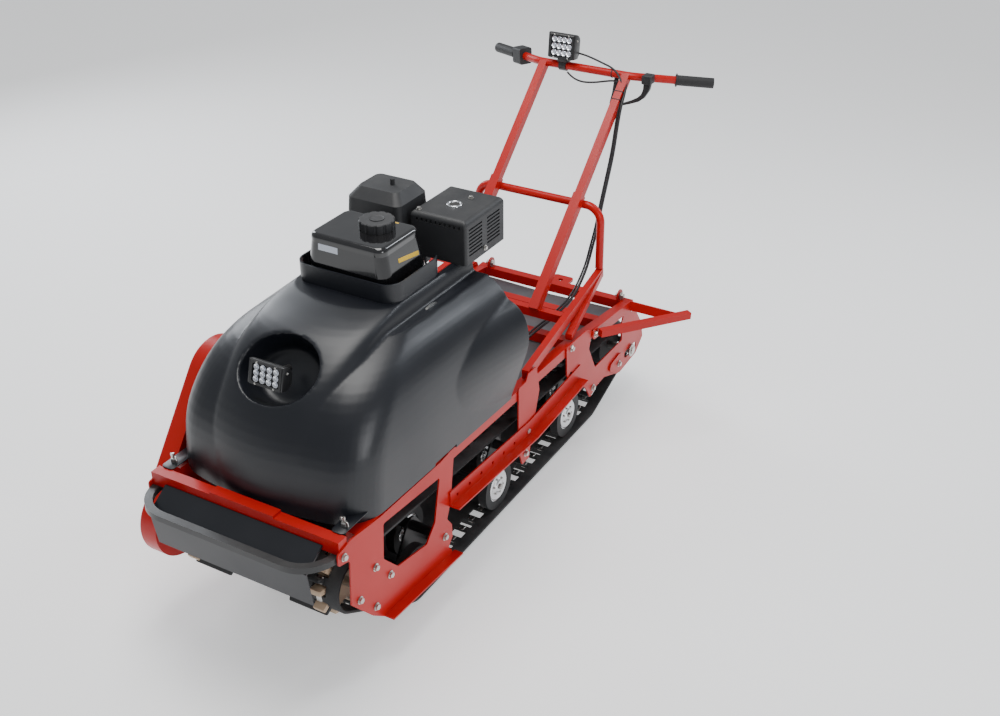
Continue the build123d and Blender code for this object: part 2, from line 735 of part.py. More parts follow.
with BuildPart() as bar_lamp:
    pod = Plane(origin=(front_x - bar_back + 22, -74, bar_z + 66), x_dir=(0, 1, 0), z_dir=(1, 0, 0.1))
    lamp_pod(pod, 92, 78, 38)
    with BuildSketch(Plane(origin=(front_x - bar_back, -74, bar_z + bar_r + fit_gap), z_dir=(0, 0, 1))):
        Rectangle(26, 34)
    extrude(amount=16)
write(bar_lamp, "bar_lamp")

# Foot rests: a tube out to the rear and a toothed angle that meets it
rest_out = 194.0            # reach of a foot rest beyond the frame
with BuildPart() as foot_rest:
    strut((front_x - 1286, outer_half + 14, 372), (front_x - 1552, outer_half + rest_out, 358), 22, 22)
    strut((front_x - 1528, outer_half + 0.5, 350), (front_x - 1524, outer_half + 162, 352), 5, 32)
    with BuildSketch(side(outer_half + fit_gap)):
        with Locations(at(1274, 372)):
            Circle(17)
        with Locations(at(1526, 349)):
            Circle(17)
        make_hull()
    extrude(amount=-4)
write_pair(foot_rest, "foot_rest")

with BuildPart() as tensioner:
    with BuildSketch(side(outer_half + fit_gap)):
        with Locations(at(1456, 174)):
            Circle(34)
        with Locations(at(1409, 185)):
            Circle(16)
        make_hull()
    extrude(amount=-5)
write_pair(tensioner, "tensioner")

# Tow bracket: a plate behind the rear bar with a bore for the hitch pin
with BuildPart() as tow:
    with BuildSketch(Plane.XY.offset(331)):
        with Locations((front_x - 1566.6 - 33, 0)):
            RectangleRounded(66, 70, 12)
            Circle(8.5, mode=Mode.SUBTRACT)
    extrude(amount=8)
write(tow, "tow_bracket")
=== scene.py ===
import math

import bmesh
import bpy
from mathutils import Matrix, Vector


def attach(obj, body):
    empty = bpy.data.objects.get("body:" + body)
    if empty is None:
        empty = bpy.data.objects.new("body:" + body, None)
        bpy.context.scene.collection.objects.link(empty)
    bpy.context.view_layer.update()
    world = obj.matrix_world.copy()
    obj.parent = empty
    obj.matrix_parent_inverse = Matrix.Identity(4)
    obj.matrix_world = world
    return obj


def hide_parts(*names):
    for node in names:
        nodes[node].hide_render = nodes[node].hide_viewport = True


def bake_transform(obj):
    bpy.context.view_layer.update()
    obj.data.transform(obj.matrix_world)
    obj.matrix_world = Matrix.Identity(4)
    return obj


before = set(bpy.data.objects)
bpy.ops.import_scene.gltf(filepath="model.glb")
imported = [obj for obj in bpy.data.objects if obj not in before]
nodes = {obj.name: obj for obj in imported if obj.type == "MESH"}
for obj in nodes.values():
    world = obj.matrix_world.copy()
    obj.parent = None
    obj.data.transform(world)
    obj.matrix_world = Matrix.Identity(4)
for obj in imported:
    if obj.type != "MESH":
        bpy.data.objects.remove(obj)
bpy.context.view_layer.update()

for part in bpy.context.selected_objects:
    part.select_set(False)

# Camera: stands ahead of the tug's left front corner, well above the hood, and looks down its length.
camera_data = bpy.data.cameras.new("camera")
camera_data.lens = 45.9
camera_data.sensor_width = 36.0
camera = bpy.data.objects.new("camera", camera_data)
bpy.context.scene.collection.objects.link(camera)
right = Vector((-0.498337, 0.866978, -0.002929))
down = Vector((0.440876, 0.250503, -0.861903))
forward = Vector((-0.746517, -0.430809, -0.507065))
camera.matrix_world = Matrix((
    (right.x, -down.x, -forward.x, 2.66252),
    (right.y, -down.y, -forward.y, 1.71707),
    (right.z, -down.z, -forward.z, 2.26418),
    (0, 0, 0, 1),
))
bpy.context.scene.camera = camera

# Floor and studio light: a pale matt sweep, one large soft box over the nose, a long one from the left
# and a weaker fill from behind, as for a catalogue picture.
bpy.ops.mesh.primitive_grid_add(x_subdivisions=8, y_subdivisions=8, size=24, location=(0, 0, -0.0015))
floor = bpy.context.object
floor.name = "floor"
floor_paint = bpy.data.materials.new("floor_paint")
floor_paint.use_nodes = True
floor_shader = floor_paint.node_tree.nodes["Principled BSDF"]
floor_noise = floor_paint.node_tree.nodes.new("ShaderNodeTexNoise")
floor_noise.inputs["Scale"].default_value = 3.0
floor_tint = floor_paint.node_tree.nodes.new("ShaderNodeMix")
floor_tint.data_type = "RGBA"
floor_tint.inputs["A"].default_value = (0.92, 0.92, 0.92, 1)
floor_tint.inputs["B"].default_value = (0.95, 0.95, 0.95, 1)
floor_paint.node_tree.links.new(floor_noise.outputs["Fac"], floor_tint.inputs["Factor"])
floor_paint.node_tree.links.new(floor_tint.outputs["Result"], floor_shader.inputs["Base Color"])
floor_shader.inputs["Roughness"].default_value = 0.75
floor_paint.node_tree.links.new(floor_tint.outputs["Result"], floor_shader.inputs["Emission Color"])
floor_shader.inputs["Emission Strength"].default_value = 0.50
floor.data.materials.append(floor_paint)
floor.select_set(False)

world = bpy.data.worlds.new("studio")
bpy.context.scene.world = world
world.use_nodes = True
world.node_tree.nodes["Background"].inputs["Color"].default_value = (0.93, 0.96, 1.0, 1)
world.node_tree.nodes["Background"].inputs["Strength"].default_value = 0.46
for name, place, target, width, height, power, tint in (
    ("overhead", (0.3, -0.2, 3.4), (0.1, 0.0, 0.4), 2.4, 1.4, 80, (1, 0.99, 0.97)),
    ("front_left", (1.6, 3.2, 1.5), (0.2, 0.1, 0.5), 1.0, 1.6, 30, (0.97, 0.98, 1)),
    ("back_right", (-1.3, -3.3, 2.2), (0, 0, 0.6), 1.2, 2.2, 60, (0.90, 0.94, 1)),
    ("rear_strip", (-2.4, 1.6, 2.6), (0.1, 0.1, 0.7), 0.35, 2.4, 34, (0.88, 0.93, 1)),
):
    lamp_data = bpy.data.lights.new(name, "AREA")
    lamp_data.shape = "RECTANGLE"
    lamp_data.size, lamp_data.size_y = width, height
    lamp_data.energy = power
    lamp_data.color = tint
    lamp = bpy.data.objects.new(name, lamp_data)
    bpy.context.scene.collection.objects.link(lamp)
    lamp.location = place
    lamp.rotation_euler = (Vector(target) - Vector(place)).to_track_quat("-Z", "Y").to_euler()


# Frame: square tube and laser-cut plate, welded and powder coated bright red. The coat has the fine
# orange peel of its kind, a painted highlight of lighter red in broken patches along its sharp edges
# and a little dust on what faces up.
def group_tree(name, ins, outs):
    """A shader node group with number sockets, and its input and output nodes."""
    tree = bpy.data.node_groups.new(name, "ShaderNodeTree")
    for label, value in ins.items():
        tree.interface.new_socket(label, in_out="INPUT", socket_type="NodeSocketFloat").default_value = value
    for label in outs:
        tree.interface.new_socket(label, in_out="OUTPUT", socket_type="NodeSocketFloat")
    return tree, tree.nodes.new("NodeGroupInput"), tree.nodes.new("NodeGroupOutput")


# Group: how strongly an edge is marked, from 0 to 1; the mark is wear on most finishes and a painted
# highlight on the red coat. The rounded normal differs from the flat one near an edge.
edge_tree, edge_in, edge_out = group_tree(
    "edge_wear_and_highlight", {"Width": 0.002, "Patches": 60.0, "Amount": 0.5}, ["Wear"])
bevel = edge_tree.nodes.new("ShaderNodeBevel")
bevel.samples = 4
flat = edge_tree.nodes.new("ShaderNodeNewGeometry")
closeness = edge_tree.nodes.new("ShaderNodeVectorMath")
closeness.operation = "DOT_PRODUCT"
turned = edge_tree.nodes.new("ShaderNodeMapRange")
turned.inputs["From Min"].default_value = 0.995
turned.inputs["From Max"].default_value = 0.80
where = edge_tree.nodes.new("ShaderNodeTexCoord")
patches = edge_tree.nodes.new("ShaderNodeTexNoise")
patches.inputs["Detail"].default_value = 4.0
broken = edge_tree.nodes.new("ShaderNodeMapRange")
broken.inputs["From Min"].default_value = 0.42
broken.inputs["From Max"].default_value = 0.62
worn_and_lit_edge = edge_tree.nodes.new("ShaderNodeMath")
worn_and_lit_edge.operation = "MULTIPLY"
scaled = edge_tree.nodes.new("ShaderNodeMath")
scaled.operation = "MULTIPLY"
link = edge_tree.links.new
link(edge_in.outputs["Width"], bevel.inputs["Radius"])
link(bevel.outputs["Normal"], closeness.inputs[0])
link(flat.outputs["Normal"], closeness.inputs[1])
link(closeness.outputs["Value"], turned.inputs["Value"])
link(where.outputs["Object"], patches.inputs["Vector"])
link(edge_in.outputs["Patches"], patches.inputs["Scale"])
link(patches.outputs["Fac"], broken.inputs["Value"])
link(turned.outputs["Result"], worn_and_lit_edge.inputs[0])
link(broken.outputs["Result"], worn_and_lit_edge.inputs[1])
link(worn_and_lit_edge.outputs["Value"], scaled.inputs[0])
link(edge_in.outputs["Amount"], scaled.inputs[1])
link(scaled.outputs["Value"], edge_out.inputs["Wear"])

# Group: fine dust that settles on faces that look up, in soft patches.
dust_tree, dust_in, dust_out = group_tree(
    "settled_dust", {"Amount": 0.2, "Patches": 9.0}, ["Dust"])
dust_face = dust_tree.nodes.new("ShaderNodeNewGeometry")
dust_axes = dust_tree.nodes.new("ShaderNodeSeparateXYZ")
dust_up = dust_tree.nodes.new("ShaderNodeMapRange")
dust_up.inputs["From Min"].default_value = 0.1
dust_where = dust_tree.nodes.new("ShaderNodeTexCoord")
dust_noise = dust_tree.nodes.new("ShaderNodeTexNoise")
dust_noise.inputs["Detail"].default_value = 7.0
dust_noise.inputs["Roughness"].default_value = 0.65
dust_patch = dust_tree.nodes.new("ShaderNodeMapRange")
dust_patch.inputs["From Min"].default_value = 0.35
dust_patch.inputs["From Max"].default_value = 0.75
dust_mix = dust_tree.nodes.new("ShaderNodeMath")
dust_mix.operation = "MULTIPLY"
dust_scale = dust_tree.nodes.new("ShaderNodeMath")
dust_scale.operation = "MULTIPLY"
link = dust_tree.links.new
link(dust_face.outputs["Normal"], dust_axes.inputs["Vector"])
link(dust_axes.outputs["Z"], dust_up.inputs["Value"])
link(dust_where.outputs["Object"], dust_noise.inputs["Vector"])
link(dust_in.outputs["Patches"], dust_noise.inputs["Scale"])
link(dust_noise.outputs["Fac"], dust_patch.inputs["Value"])
link(dust_up.outputs["Result"], dust_mix.inputs[0])
link(dust_patch.outputs["Result"], dust_mix.inputs[1])
link(dust_mix.outputs["Value"], dust_scale.inputs[0])
link(dust_in.outputs["Amount"], dust_scale.inputs[1])
link(dust_scale.outputs["Value"], dust_out.inputs["Dust"])

# Group: a fine surface grain as a height, and a slow cloudy value for uneven gloss or tone.
grain_tree, grain_in, grain_out = group_tree(
    "surface_grain", {"Fine": 900.0, "Cloud": 6.0}, ["Height", "Cloudy"])
grain_where = grain_tree.nodes.new("ShaderNodeTexCoord")
grain_fine = grain_tree.nodes.new("ShaderNodeTexNoise")
grain_fine.inputs["Detail"].default_value = 2.0
grain_cloud = grain_tree.nodes.new("ShaderNodeTexNoise")
grain_cloud.inputs["Detail"].default_value = 5.0
link = grain_tree.links.new
link(grain_where.outputs["Object"], grain_fine.inputs["Vector"])
link(grain_where.outputs["Object"], grain_cloud.inputs["Vector"])
link(grain_in.outputs["Fine"], grain_fine.inputs["Scale"])
link(grain_in.outputs["Cloud"], grain_cloud.inputs["Scale"])
link(grain_fine.outputs["Fac"], grain_out.inputs["Height"])
link(grain_cloud.outputs["Fac"], grain_out.inputs["Cloudy"])


edge_width = 0.0015
dust_tint = (0.33, 0.32, 0.30)


def laid_over(tree, base, factor, colour):
    """A colour over the base, as far as the factor says."""
    mix = tree.nodes.new("ShaderNodeMix")
    mix.data_type = "RGBA"
    mix.inputs["B"].default_value = (*colour, 1)
    tree.links.new(factor, mix.inputs["Factor"])
    tree.links.new(base, mix.inputs["A"])
    return mix.outputs["Result"]


def finish_of(name, colour, deep, rough, smooth, fine, peel, metal=0.0, wear_and_highlight=None, wear_and_highlight_amount=0.5, dust=0.15,
              coat=0.0):
    """Grain, cloudy tone, an edge colour (wear; a painted highlight on the red coat) and settled dust.
    Colours and gloss run between two values.
    """
    made = bpy.data.materials.new(name)
    made.use_nodes = True
    tree = made.node_tree
    shader = tree.nodes["Principled BSDF"]
    grain = tree.nodes.new("ShaderNodeGroup")
    grain.node_tree = grain_tree
    grain.inputs["Fine"].default_value = fine
    tone = tree.nodes.new("ShaderNodeMix")
    tone.data_type = "RGBA"
    tone.inputs["A"].default_value = (*colour, 1)
    tone.inputs["B"].default_value = (*deep, 1)
    tree.links.new(grain.outputs["Cloudy"], tone.inputs["Factor"])
    last = tone.outputs["Result"]
    # On the red coat this edge colour is a painted highlight; on the other finishes it is wear.
    if wear_and_highlight:
        edges = tree.nodes.new("ShaderNodeGroup")
        edges.node_tree = edge_tree
        edges.inputs["Width"].default_value = edge_width
        edges.inputs["Amount"].default_value = wear_and_highlight_amount
        last = laid_over(tree, last, edges.outputs["Wear"], wear_and_highlight)
    if dust:
        settled = tree.nodes.new("ShaderNodeGroup")
        settled.node_tree = dust_tree
        settled.inputs["Amount"].default_value = dust
        last = laid_over(tree, last, settled.outputs["Dust"], dust_tint)
    tree.links.new(last, shader.inputs["Base Color"])
    gloss = tree.nodes.new("ShaderNodeMapRange")
    gloss.inputs["From Min"].default_value = 0.3
    gloss.inputs["From Max"].default_value = 0.7
    gloss.inputs["To Min"].default_value = smooth
    gloss.inputs["To Max"].default_value = rough
    tree.links.new(grain.outputs["Cloudy"], gloss.inputs["Value"])
    tree.links.new(gloss.outputs["Result"], shader.inputs["Roughness"])
    bump = tree.nodes.new("ShaderNodeBump")
    bump.inputs["Strength"].default_value = peel
    bump.inputs["Distance"].default_value = 0.0004
    tree.links.new(grain.outputs["Height"], bump.inputs["Height"])
    tree.links.new(bump.outputs["Normal"], shader.inputs["Normal"])
    shader.inputs["Metallic"].default_value = metal
    shader.inputs["Coat Weight"].default_value = coat
    return made


def paint(names, made):
    """Gives every slot of these CAD nodes this material."""
    for name in names.split():
        mesh = nodes[name].data
        mesh.materials.clear()
        mesh.materials.append(made)


# The lighter red laid along the sharp edges of the frame is a painted highlight.
red_coat = finish_of("red_powder_coat", (0.50, 0.0045, 0.002), (0.38, 0.003, 0.0015), 0.38, 0.28, 420, 0.08,
                     wear_and_highlight=(0.75, 0.06, 0.04), wear_and_highlight_amount=0.4, dust=0.02)
red_coat.node_tree.nodes["Principled BSDF"].inputs["Specular IOR Level"].default_value = 0.32
paint("front_plate_left front_plate_right side_channel_left side_channel_right top_rail_left top_rail_right "
      "t_plate_left t_plate_right rear_plate_left rear_plate_right brace_left brace_right foot_rest_left "
      "foot_rest_right tensioner_left tensioner_right front_bar deck_bars rear_bar chain_case handle_column "
      "handlebar tow_bracket engine_bed", red_coat)

# Hood and front apron: vacuum-formed sheet with a satin, faintly grained skin.
hood_skin = finish_of("hood_plastic", (0.0045, 0.0055, 0.0085), (0.0075, 0.0090, 0.0135), 0.40, 0.31, 900,
                      0.05, wear_and_highlight=(0.04, 0.05, 0.065), wear_and_highlight_amount=0.3, dust=0.006)
paint("hood front_apron", hood_skin)

# Bumper hoop, bogie arms: satin black powder coat.
black_coat = finish_of("black_coat", (0.010, 0.010, 0.011), (0.018, 0.018, 0.019), 0.45, 0.32, 500, 0.12,
                       wear_and_highlight=(0.10, 0.10, 0.10), wear_and_highlight_amount=0.4, dust=0.08)
paint("bumper_hoop bogies", black_coat)

# Fuel tank and starter cover: pressed steel in gloss black enamel.
gloss_black = finish_of("gloss_black", (0.004, 0.004, 0.005), (0.008, 0.008, 0.009), 0.16, 0.07, 300, 0.03,
                        dust=0.03, coat=0.6)
paint("fuel_tank recoil_starter", gloss_black)

# Filler cap, air cleaner, muffler guard, throttle housing: fine-grained matt black.
matte_black = finish_of("matte_black", (0.013, 0.013, 0.015), (0.020, 0.021, 0.023), 0.60, 0.45, 900, 0.25,
                        wear_and_highlight=(0.07, 0.07, 0.075), wear_and_highlight_amount=0.4, dust=0.08)
paint("fuel_cap air_cleaner muffler_guard throttle_housing", matte_black)

# Shafts, pulleys: bright zinc plate.
zinc = finish_of("zinc", (0.62, 0.62, 0.60), (0.50, 0.50, 0.47), 0.42, 0.24, 600, 0.06, metal=1.0, dust=0.05)
paint("pulleys jackshaft drive_axle rear_axle", zinc)

# Engine block: dark cast alloy.
engine_cast = finish_of("engine_casting", (0.10, 0.10, 0.105), (0.15, 0.15, 0.15), 0.60, 0.45, 260, 0.35,
                        metal=0.6, dust=0.10)
paint("engine_block", engine_cast)

# Wheel hubs: polished aluminium castings.
polished = finish_of("polished_hub", (0.80, 0.81, 0.82), (0.68, 0.69, 0.70), 0.26, 0.12, 500, 0.04, metal=1.0,
                     dust=0.08)
paint("wheel_hubs", polished)

# Track, road tyres, idler wheels, belt, grips: rubber.
track_rubber = finish_of("track_rubber", (0.010, 0.010, 0.011), (0.022, 0.022, 0.023), 0.82, 0.62, 380, 0.35,
                         wear_and_highlight=(0.06, 0.06, 0.06), wear_and_highlight_amount=0.5, dust=0.18)
paint("track", track_rubber)
tyre_rubber = finish_of("tyre_rubber", (0.012, 0.012, 0.013), (0.024, 0.024, 0.025), 0.75, 0.55, 380, 0.2,
                        dust=0.12)
paint("road_tyres idler_wheels", tyre_rubber)
belt_rubber = finish_of("belt_rubber", (0.014, 0.014, 0.014), (0.022, 0.022, 0.022), 0.8, 0.6, 500, 0.2,
                        dust=0.1)
paint("drive_belt", belt_rubber)
grip_rubber = finish_of("grip_rubber", (0.009, 0.009, 0.010), (0.016, 0.016, 0.017), 0.72, 0.55, 700, 0.3,
                        dust=0.05)
paint("grip_left grip_right", grip_rubber)

# Sprockets: beige cast nylon.
nylon = finish_of("sprocket_nylon", (0.52, 0.38, 0.26), (0.42, 0.30, 0.20), 0.6, 0.42, 300, 0.15, dust=0.1)
paint("drive_sprockets", nylon)

# Deck: grey satin sheet.
deck_grey = finish_of("deck_grey", (0.055, 0.06, 0.068), (0.085, 0.09, 0.10), 0.55, 0.35, 300, 0.12, dust=0.2)
paint("deck_sheet", deck_grey)

# Lamps: die-cast pods in black anodise.
lamp_black = finish_of("lamp_black", (0.012, 0.012, 0.013), (0.020, 0.020, 0.021), 0.42, 0.28, 700, 0.08,
                       wear_and_highlight=(0.12, 0.12, 0.12), wear_and_highlight_amount=0.4, dust=0.05)
paint("hood_lamp bar_lamp", lamp_black)


# Bolts of the frame: zinc-plated hexagon bolts with round washers. They go in from outside through the
# laser-cut holes, and their nuts sit inside the plates.
def clear():
    """Nothing stays selected, so that the next operator works on its own piece alone."""
    if bpy.context.object and bpy.context.object.mode != "OBJECT":
        bpy.ops.object.mode_set(mode="OBJECT")
    bpy.ops.object.select_all(action="DESELECT")


def take(piece):
    """Only this piece is selected, and it is the active one."""
    clear()
    piece.select_set(True)
    bpy.context.view_layer.objects.active = piece


def pick(piece, test):
    """Goes into edit mode with those faces selected whose middle and normal pass the test."""
    bpy.ops.object.mode_set(mode="EDIT")
    bpy.ops.mesh.select_mode(type="FACE")
    bpy.ops.mesh.select_all(action="DESELECT")
    bpy.ops.object.mode_set(mode="OBJECT")
    for face in piece.data.polygons:
        face.select = test(face.center, face.normal)
    bpy.ops.object.mode_set(mode="EDIT")


def weld(*pieces):
    """One piece of them all, in the order given, with its place in the mesh."""
    clear()
    for piece in pieces:
        piece.select_set(True)
    bpy.context.view_layer.objects.active = pieces[0]
    bpy.ops.object.transform_apply(location=True, rotation=True, scale=True)
    if len(pieces) > 1:
        bpy.ops.object.join()
    return bpy.context.object


def finished(piece, kind, **settings):
    """One modifier put on and applied."""
    take(piece)
    modifier = piece.modifiers.new("step", kind)
    for key, value in settings.items():
        setattr(modifier, key, value)
    bpy.ops.object.modifier_apply(modifier="step")


def round_edges(piece, width, segments=2, angle=30):
    """A bevel on the sharp edges, applied."""
    finished(piece, "BEVEL", width=width, segments=segments, limit_method="ANGLE",
             angle_limit=math.radians(angle))


def twin_of(master):
    """A copy with a mesh of its own."""
    twin = master.copy()
    twin.data = master.data.copy()
    bpy.context.scene.collection.objects.link(twin)
    return twin


def set_out(master, places):
    """A copy of the master at each place with its top along the way given, all made one. The master goes."""
    copies = []
    for spot, way in places:
        twin = twin_of(master)
        upright = Vector(way).to_track_quat("Z", "Y").to_matrix().to_4x4()
        twin.data.transform(Matrix.Translation(spot) @ upright)
        copies.append(twin)
    bpy.data.objects.remove(master)
    return weld(*copies)


def hand_over(piece, name, body, slot, *made, angle=35):
    """Name, smooth faces, materials and body. The slot argument is not used."""
    take(piece)
    bpy.ops.object.shade_smooth_by_angle(angle=math.radians(angle))
    piece.name = piece.data.name = name
    if made:
        piece.data.materials.clear()
        for finish in made:
            piece.data.materials.append(finish)
    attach(piece, body)
    clear()
    return piece


frame_front = 883.0         # millimetres from the part's origin forward to the frame's front


def at(back, y, z):
    """A point from its distance behind the frame's front, its side and its height, all in millimetres."""
    return Vector((frame_front / 1000 - back / 1000, y / 1000, z / 1000))


def bolt(across, head, washer):
    """A hexagon head with a chamfered top on a round washer, standing up."""
    clear()
    bpy.ops.mesh.primitive_cylinder_add(vertices=20, radius=washer, depth=0.0018, location=(0, 0, 0.0009))
    plate = bpy.context.object
    bpy.ops.mesh.primitive_cylinder_add(vertices=6, radius=across / math.sqrt(3), depth=head,
                                        location=(0, 0, 0.0018 + head / 2))
    six = bpy.context.object
    pick(six, lambda c, n: n.z > 0.9)
    bpy.ops.mesh.inset(thickness=across * 0.10)
    bpy.ops.transform.translate(value=(0, 0, head * 0.22))
    bpy.ops.object.mode_set(mode="OBJECT")
    return weld(plate, six)


bolt_zinc = finish_of("bolt_zinc", (0.60, 0.59, 0.56), (0.40, 0.39, 0.37), 0.42, 0.22, 900, 0.08,
                      metal=1.0, dust=0.04)
for side, name in ((1, "left"), (-1, "right")):
    plate_holes = [(-5, 418), (414, 188), (856, 262), (847, 191), (1123, 396), (1278, 178)]
    if side > 0:
        plate_holes += [(110, 306), (167, 243), (42, 256), (103, 190)]
    outside = [(at(back, side * 284.2, z), (0, side, 0)) for back, z in plate_holes]
    outside += [(at(1456, side * 289.4, 174), (0, side, 0)), (at(1274, side * 288.4, 372), (0, side, 0)),
                (at(1539, side * 288.4, 336), (0, side, 0))]
    heads = set_out(bolt(0.014, 0.0056, 0.0105), outside)
    hand_over(heads, f"frame_bolts_{name}", "root", "zinc", bolt_zinc)

# Axle ends: a large plated washer with a rounded rim at each end of the rear axle, outside its rear plate.
for side, name in ((1, "left"), (-1, "right")):
    clear()
    bpy.ops.mesh.primitive_cylinder_add(vertices=28, radius=0.021, depth=0.003,
                                        location=at(1554, side * 290.0, 174),
                                        rotation=(math.radians(90), 0, 0))
    washer = bpy.context.object
    round_edges(washer, 0.001)
    hand_over(weld(washer), f"axle_washer_{name}", "root", "zinc", bolt_zinc)

# Wing nuts: cast zinc, one at each front corner of the hood, on studs welded to the front bar.
wings = []
stud_back, stud_y = 42, 256
for side in (-1, 1):
    clear()
    bpy.ops.mesh.primitive_cylinder_add(vertices=18, radius=0.0078, depth=0.009,
                                        location=at(stud_back, side * stud_y, 470))
    hub = bpy.context.object
    pick(hub, lambda c, n: n.z > 0.9)
    bpy.ops.mesh.inset(thickness=0.002)
    bpy.ops.transform.translate(value=(0, 0, 0.0025))
    bpy.ops.object.mode_set(mode="OBJECT")
    bpy.ops.mesh.primitive_cylinder_add(vertices=12, radius=0.0032, depth=0.026,
                                        location=at(stud_back, side * stud_y, 477))
    stud = bpy.context.object
    ears = []
    for k in (-1, 1):
        bpy.ops.mesh.primitive_cylinder_add(vertices=16, radius=0.0075, depth=0.0028,
                                            location=at(stud_back - k * 5, side * stud_y + k * 11, 476),
                                            rotation=(math.radians(90), 0, math.radians(65)))
        ear = bpy.context.object
        round_edges(ear, 0.0009)
        ears.append(ear)
    wings += [hub, stud, *ears]
hand_over(weld(*wings), "wing_nuts", "root", "zinc", bolt_zinc)

# Hood: one vacuum-formed shell of three lobes that run into each other, with a bowl for the lamp and a
# straight collar round the tank. It stands on the rails, and flaps at its front corners take the wing nuts.
hood_rear, hood_wall = 772.0, 0.004
collar_top = 871.0
# Levels of each lobe. Columns: height, front, half width, half width at the rear, corner radius, nose radius.
crown = (
    (400, 25, 190, 190, 90, 450), (500, 27, 190, 190, 90, 450), (600, 43, 186, 186, 90, 420),
    (690, 88, 172, 174, 90, 300), (755, 158, 168, 172, 90, 270), (800, 248, 162, 168, 85, 250),
    (821, 366, 154, 158, 80, 240),
)
shoulder = (
    (400, 30, 283, 283, 110, 900), (500, 34, 283, 290, 110, 900), (600, 54, 280, 292, 115, 850),
    (690, 112, 266, 284, 130, 700), (745, 190, 238, 258, 130, 480), (778, 300, 196, 212, 110, 320),
)
flank = (
    (400, 320, 262, 276, 70, 500), (500, 318, 278, 308, 70, 500), (600, 330, 281, 337, 70, 500),
    (664, 385, 274, 332, 70, 500), (706, 480, 258, 306, 70, 480), (728, 600, 226, 262, 70, 420),
)


def level_outline(front_back, half, rear_half, corner, nose, side_steps=14, corner_steps=9, nose_steps=10):
    """Points of one level of a lobe from the rear left, round the nose, to the rear right."""
    tip = frame_front - front_back
    nose_x = tip - nose
    corner_x = nose_x + math.sqrt((nose - corner) ** 2 - (half - corner) ** 2)
    turn = math.atan2(half - corner, corner_x - nose_x)
    left = []
    for k in range(side_steps):
        left.append((frame_front - hood_rear + k / side_steps * (corner_x - frame_front + hood_rear),
                     rear_half + k / side_steps * (half - rear_half)))
    for k in range(corner_steps):
        bend = math.pi / 2 + k / corner_steps * (turn - math.pi / 2)
        left.append((corner_x + corner * math.cos(bend), half - corner + corner * math.sin(bend)))
    for k in range(nose_steps):
        bend = turn * (1 - k / nose_steps)
        left.append((nose_x + nose * math.cos(bend), nose * math.sin(bend)))
    return left + [(tip, 0.0)] + [(x, -y) for x, y in reversed(left)]


def from_form(form, name):
    """A new object in the scene with the mesh that was built up in the form."""
    mesh = bpy.data.meshes.new(name)
    form.to_mesh(mesh)
    form.free()
    piece = bpy.data.objects.new(name, mesh)
    bpy.context.scene.collection.objects.link(piece)
    return piece


def lobe(name, table):
    """A closed form through the levels of a table, with rounder steps between them."""
    rows = []
    for k in range(len(table) - 1):
        before, here, there = table[max(k - 1, 0)], table[k], table[k + 1]
        after = table[min(k + 2, len(table) - 1)]
        for step in range(4):
            t = step / 4
            rows.append([0.5 * (2 * b + (c - a) * t + (2 * a - 5 * b + 4 * c - d) * t * t
                                + (3 * b - a - 3 * c + d) * t ** 3)
                         for a, b, c, d in zip(before, here, there, after)])
    rows.append(list(table[-1]))
    form = bmesh.new()
    rings = [[form.verts.new((x / 1000, y / 1000, row[0] / 1000)) for x, y in level_outline(*row[1:])]
             for row in rows]
    for lower, upper in zip(rings, rings[1:]):
        for k in range(len(lower)):
            after = (k + 1) % len(lower)
            form.faces.new((lower[k], lower[after], upper[after], upper[k]))
    form.faces.new(rings[0])
    form.faces.new(rings[-1])
    bmesh.ops.recalc_face_normals(form, faces=form.faces)
    return from_form(form, name)


def combine(piece, other, operation):
    """Union or difference with another closed form, which is used up."""
    finished(piece, "BOOLEAN", operation=operation, solver="EXACT", object=other, material_mode="TRANSFER")
    bpy.data.objects.remove(other)


def slab(outline, low, high, axis="Z", radius=0.0, segments=6):
    """A plate of this outline between two heights along an axis, its corners rounded, all in millimetres."""
    form = bmesh.new()
    turned = {
        "Z": lambda a, b, c: (a, b, c),
        "Y": lambda a, b, c: (a, c, b),
        "X": lambda a, b, c: (c, a, b),
    }[axis]
    floor_ring = [form.verts.new(Vector(turned(a, b, low)) / 1000) for a, b in outline]
    base = form.faces.new(floor_ring)
    raised = bmesh.ops.extrude_face_region(form, geom=[base])["geom"]
    rise = Vector(turned(0, 0, high - low)) / 1000
    bmesh.ops.translate(form, verts=[v for v in raised if isinstance(v, bmesh.types.BMVert)], vec=rise)
    if radius:
        along = rise.normalized()
        uprights = [e for e in form.edges
                    if abs((e.verts[0].co - e.verts[1].co).normalized().dot(along)) > 0.99]
        bmesh.ops.bevel(form, geom=uprights, offset=radius / 1000, segments=segments, affect="EDGES",
                        profile=0.5)
    bmesh.ops.recalc_face_normals(form, faces=form.faces)
    return from_form(form, "slab")


def behind_front(outline):
    """Points given by their distance behind the frame's front, turned into places along X."""
    return [(frame_front - back, other) for back, other in outline]


def block_outline(back_from, back_to, half):
    """A rectangle across the tug between two distances behind the frame's front."""
    return behind_front([(back_from, -half), (back_from, half), (back_to, half), (back_to, -half)])


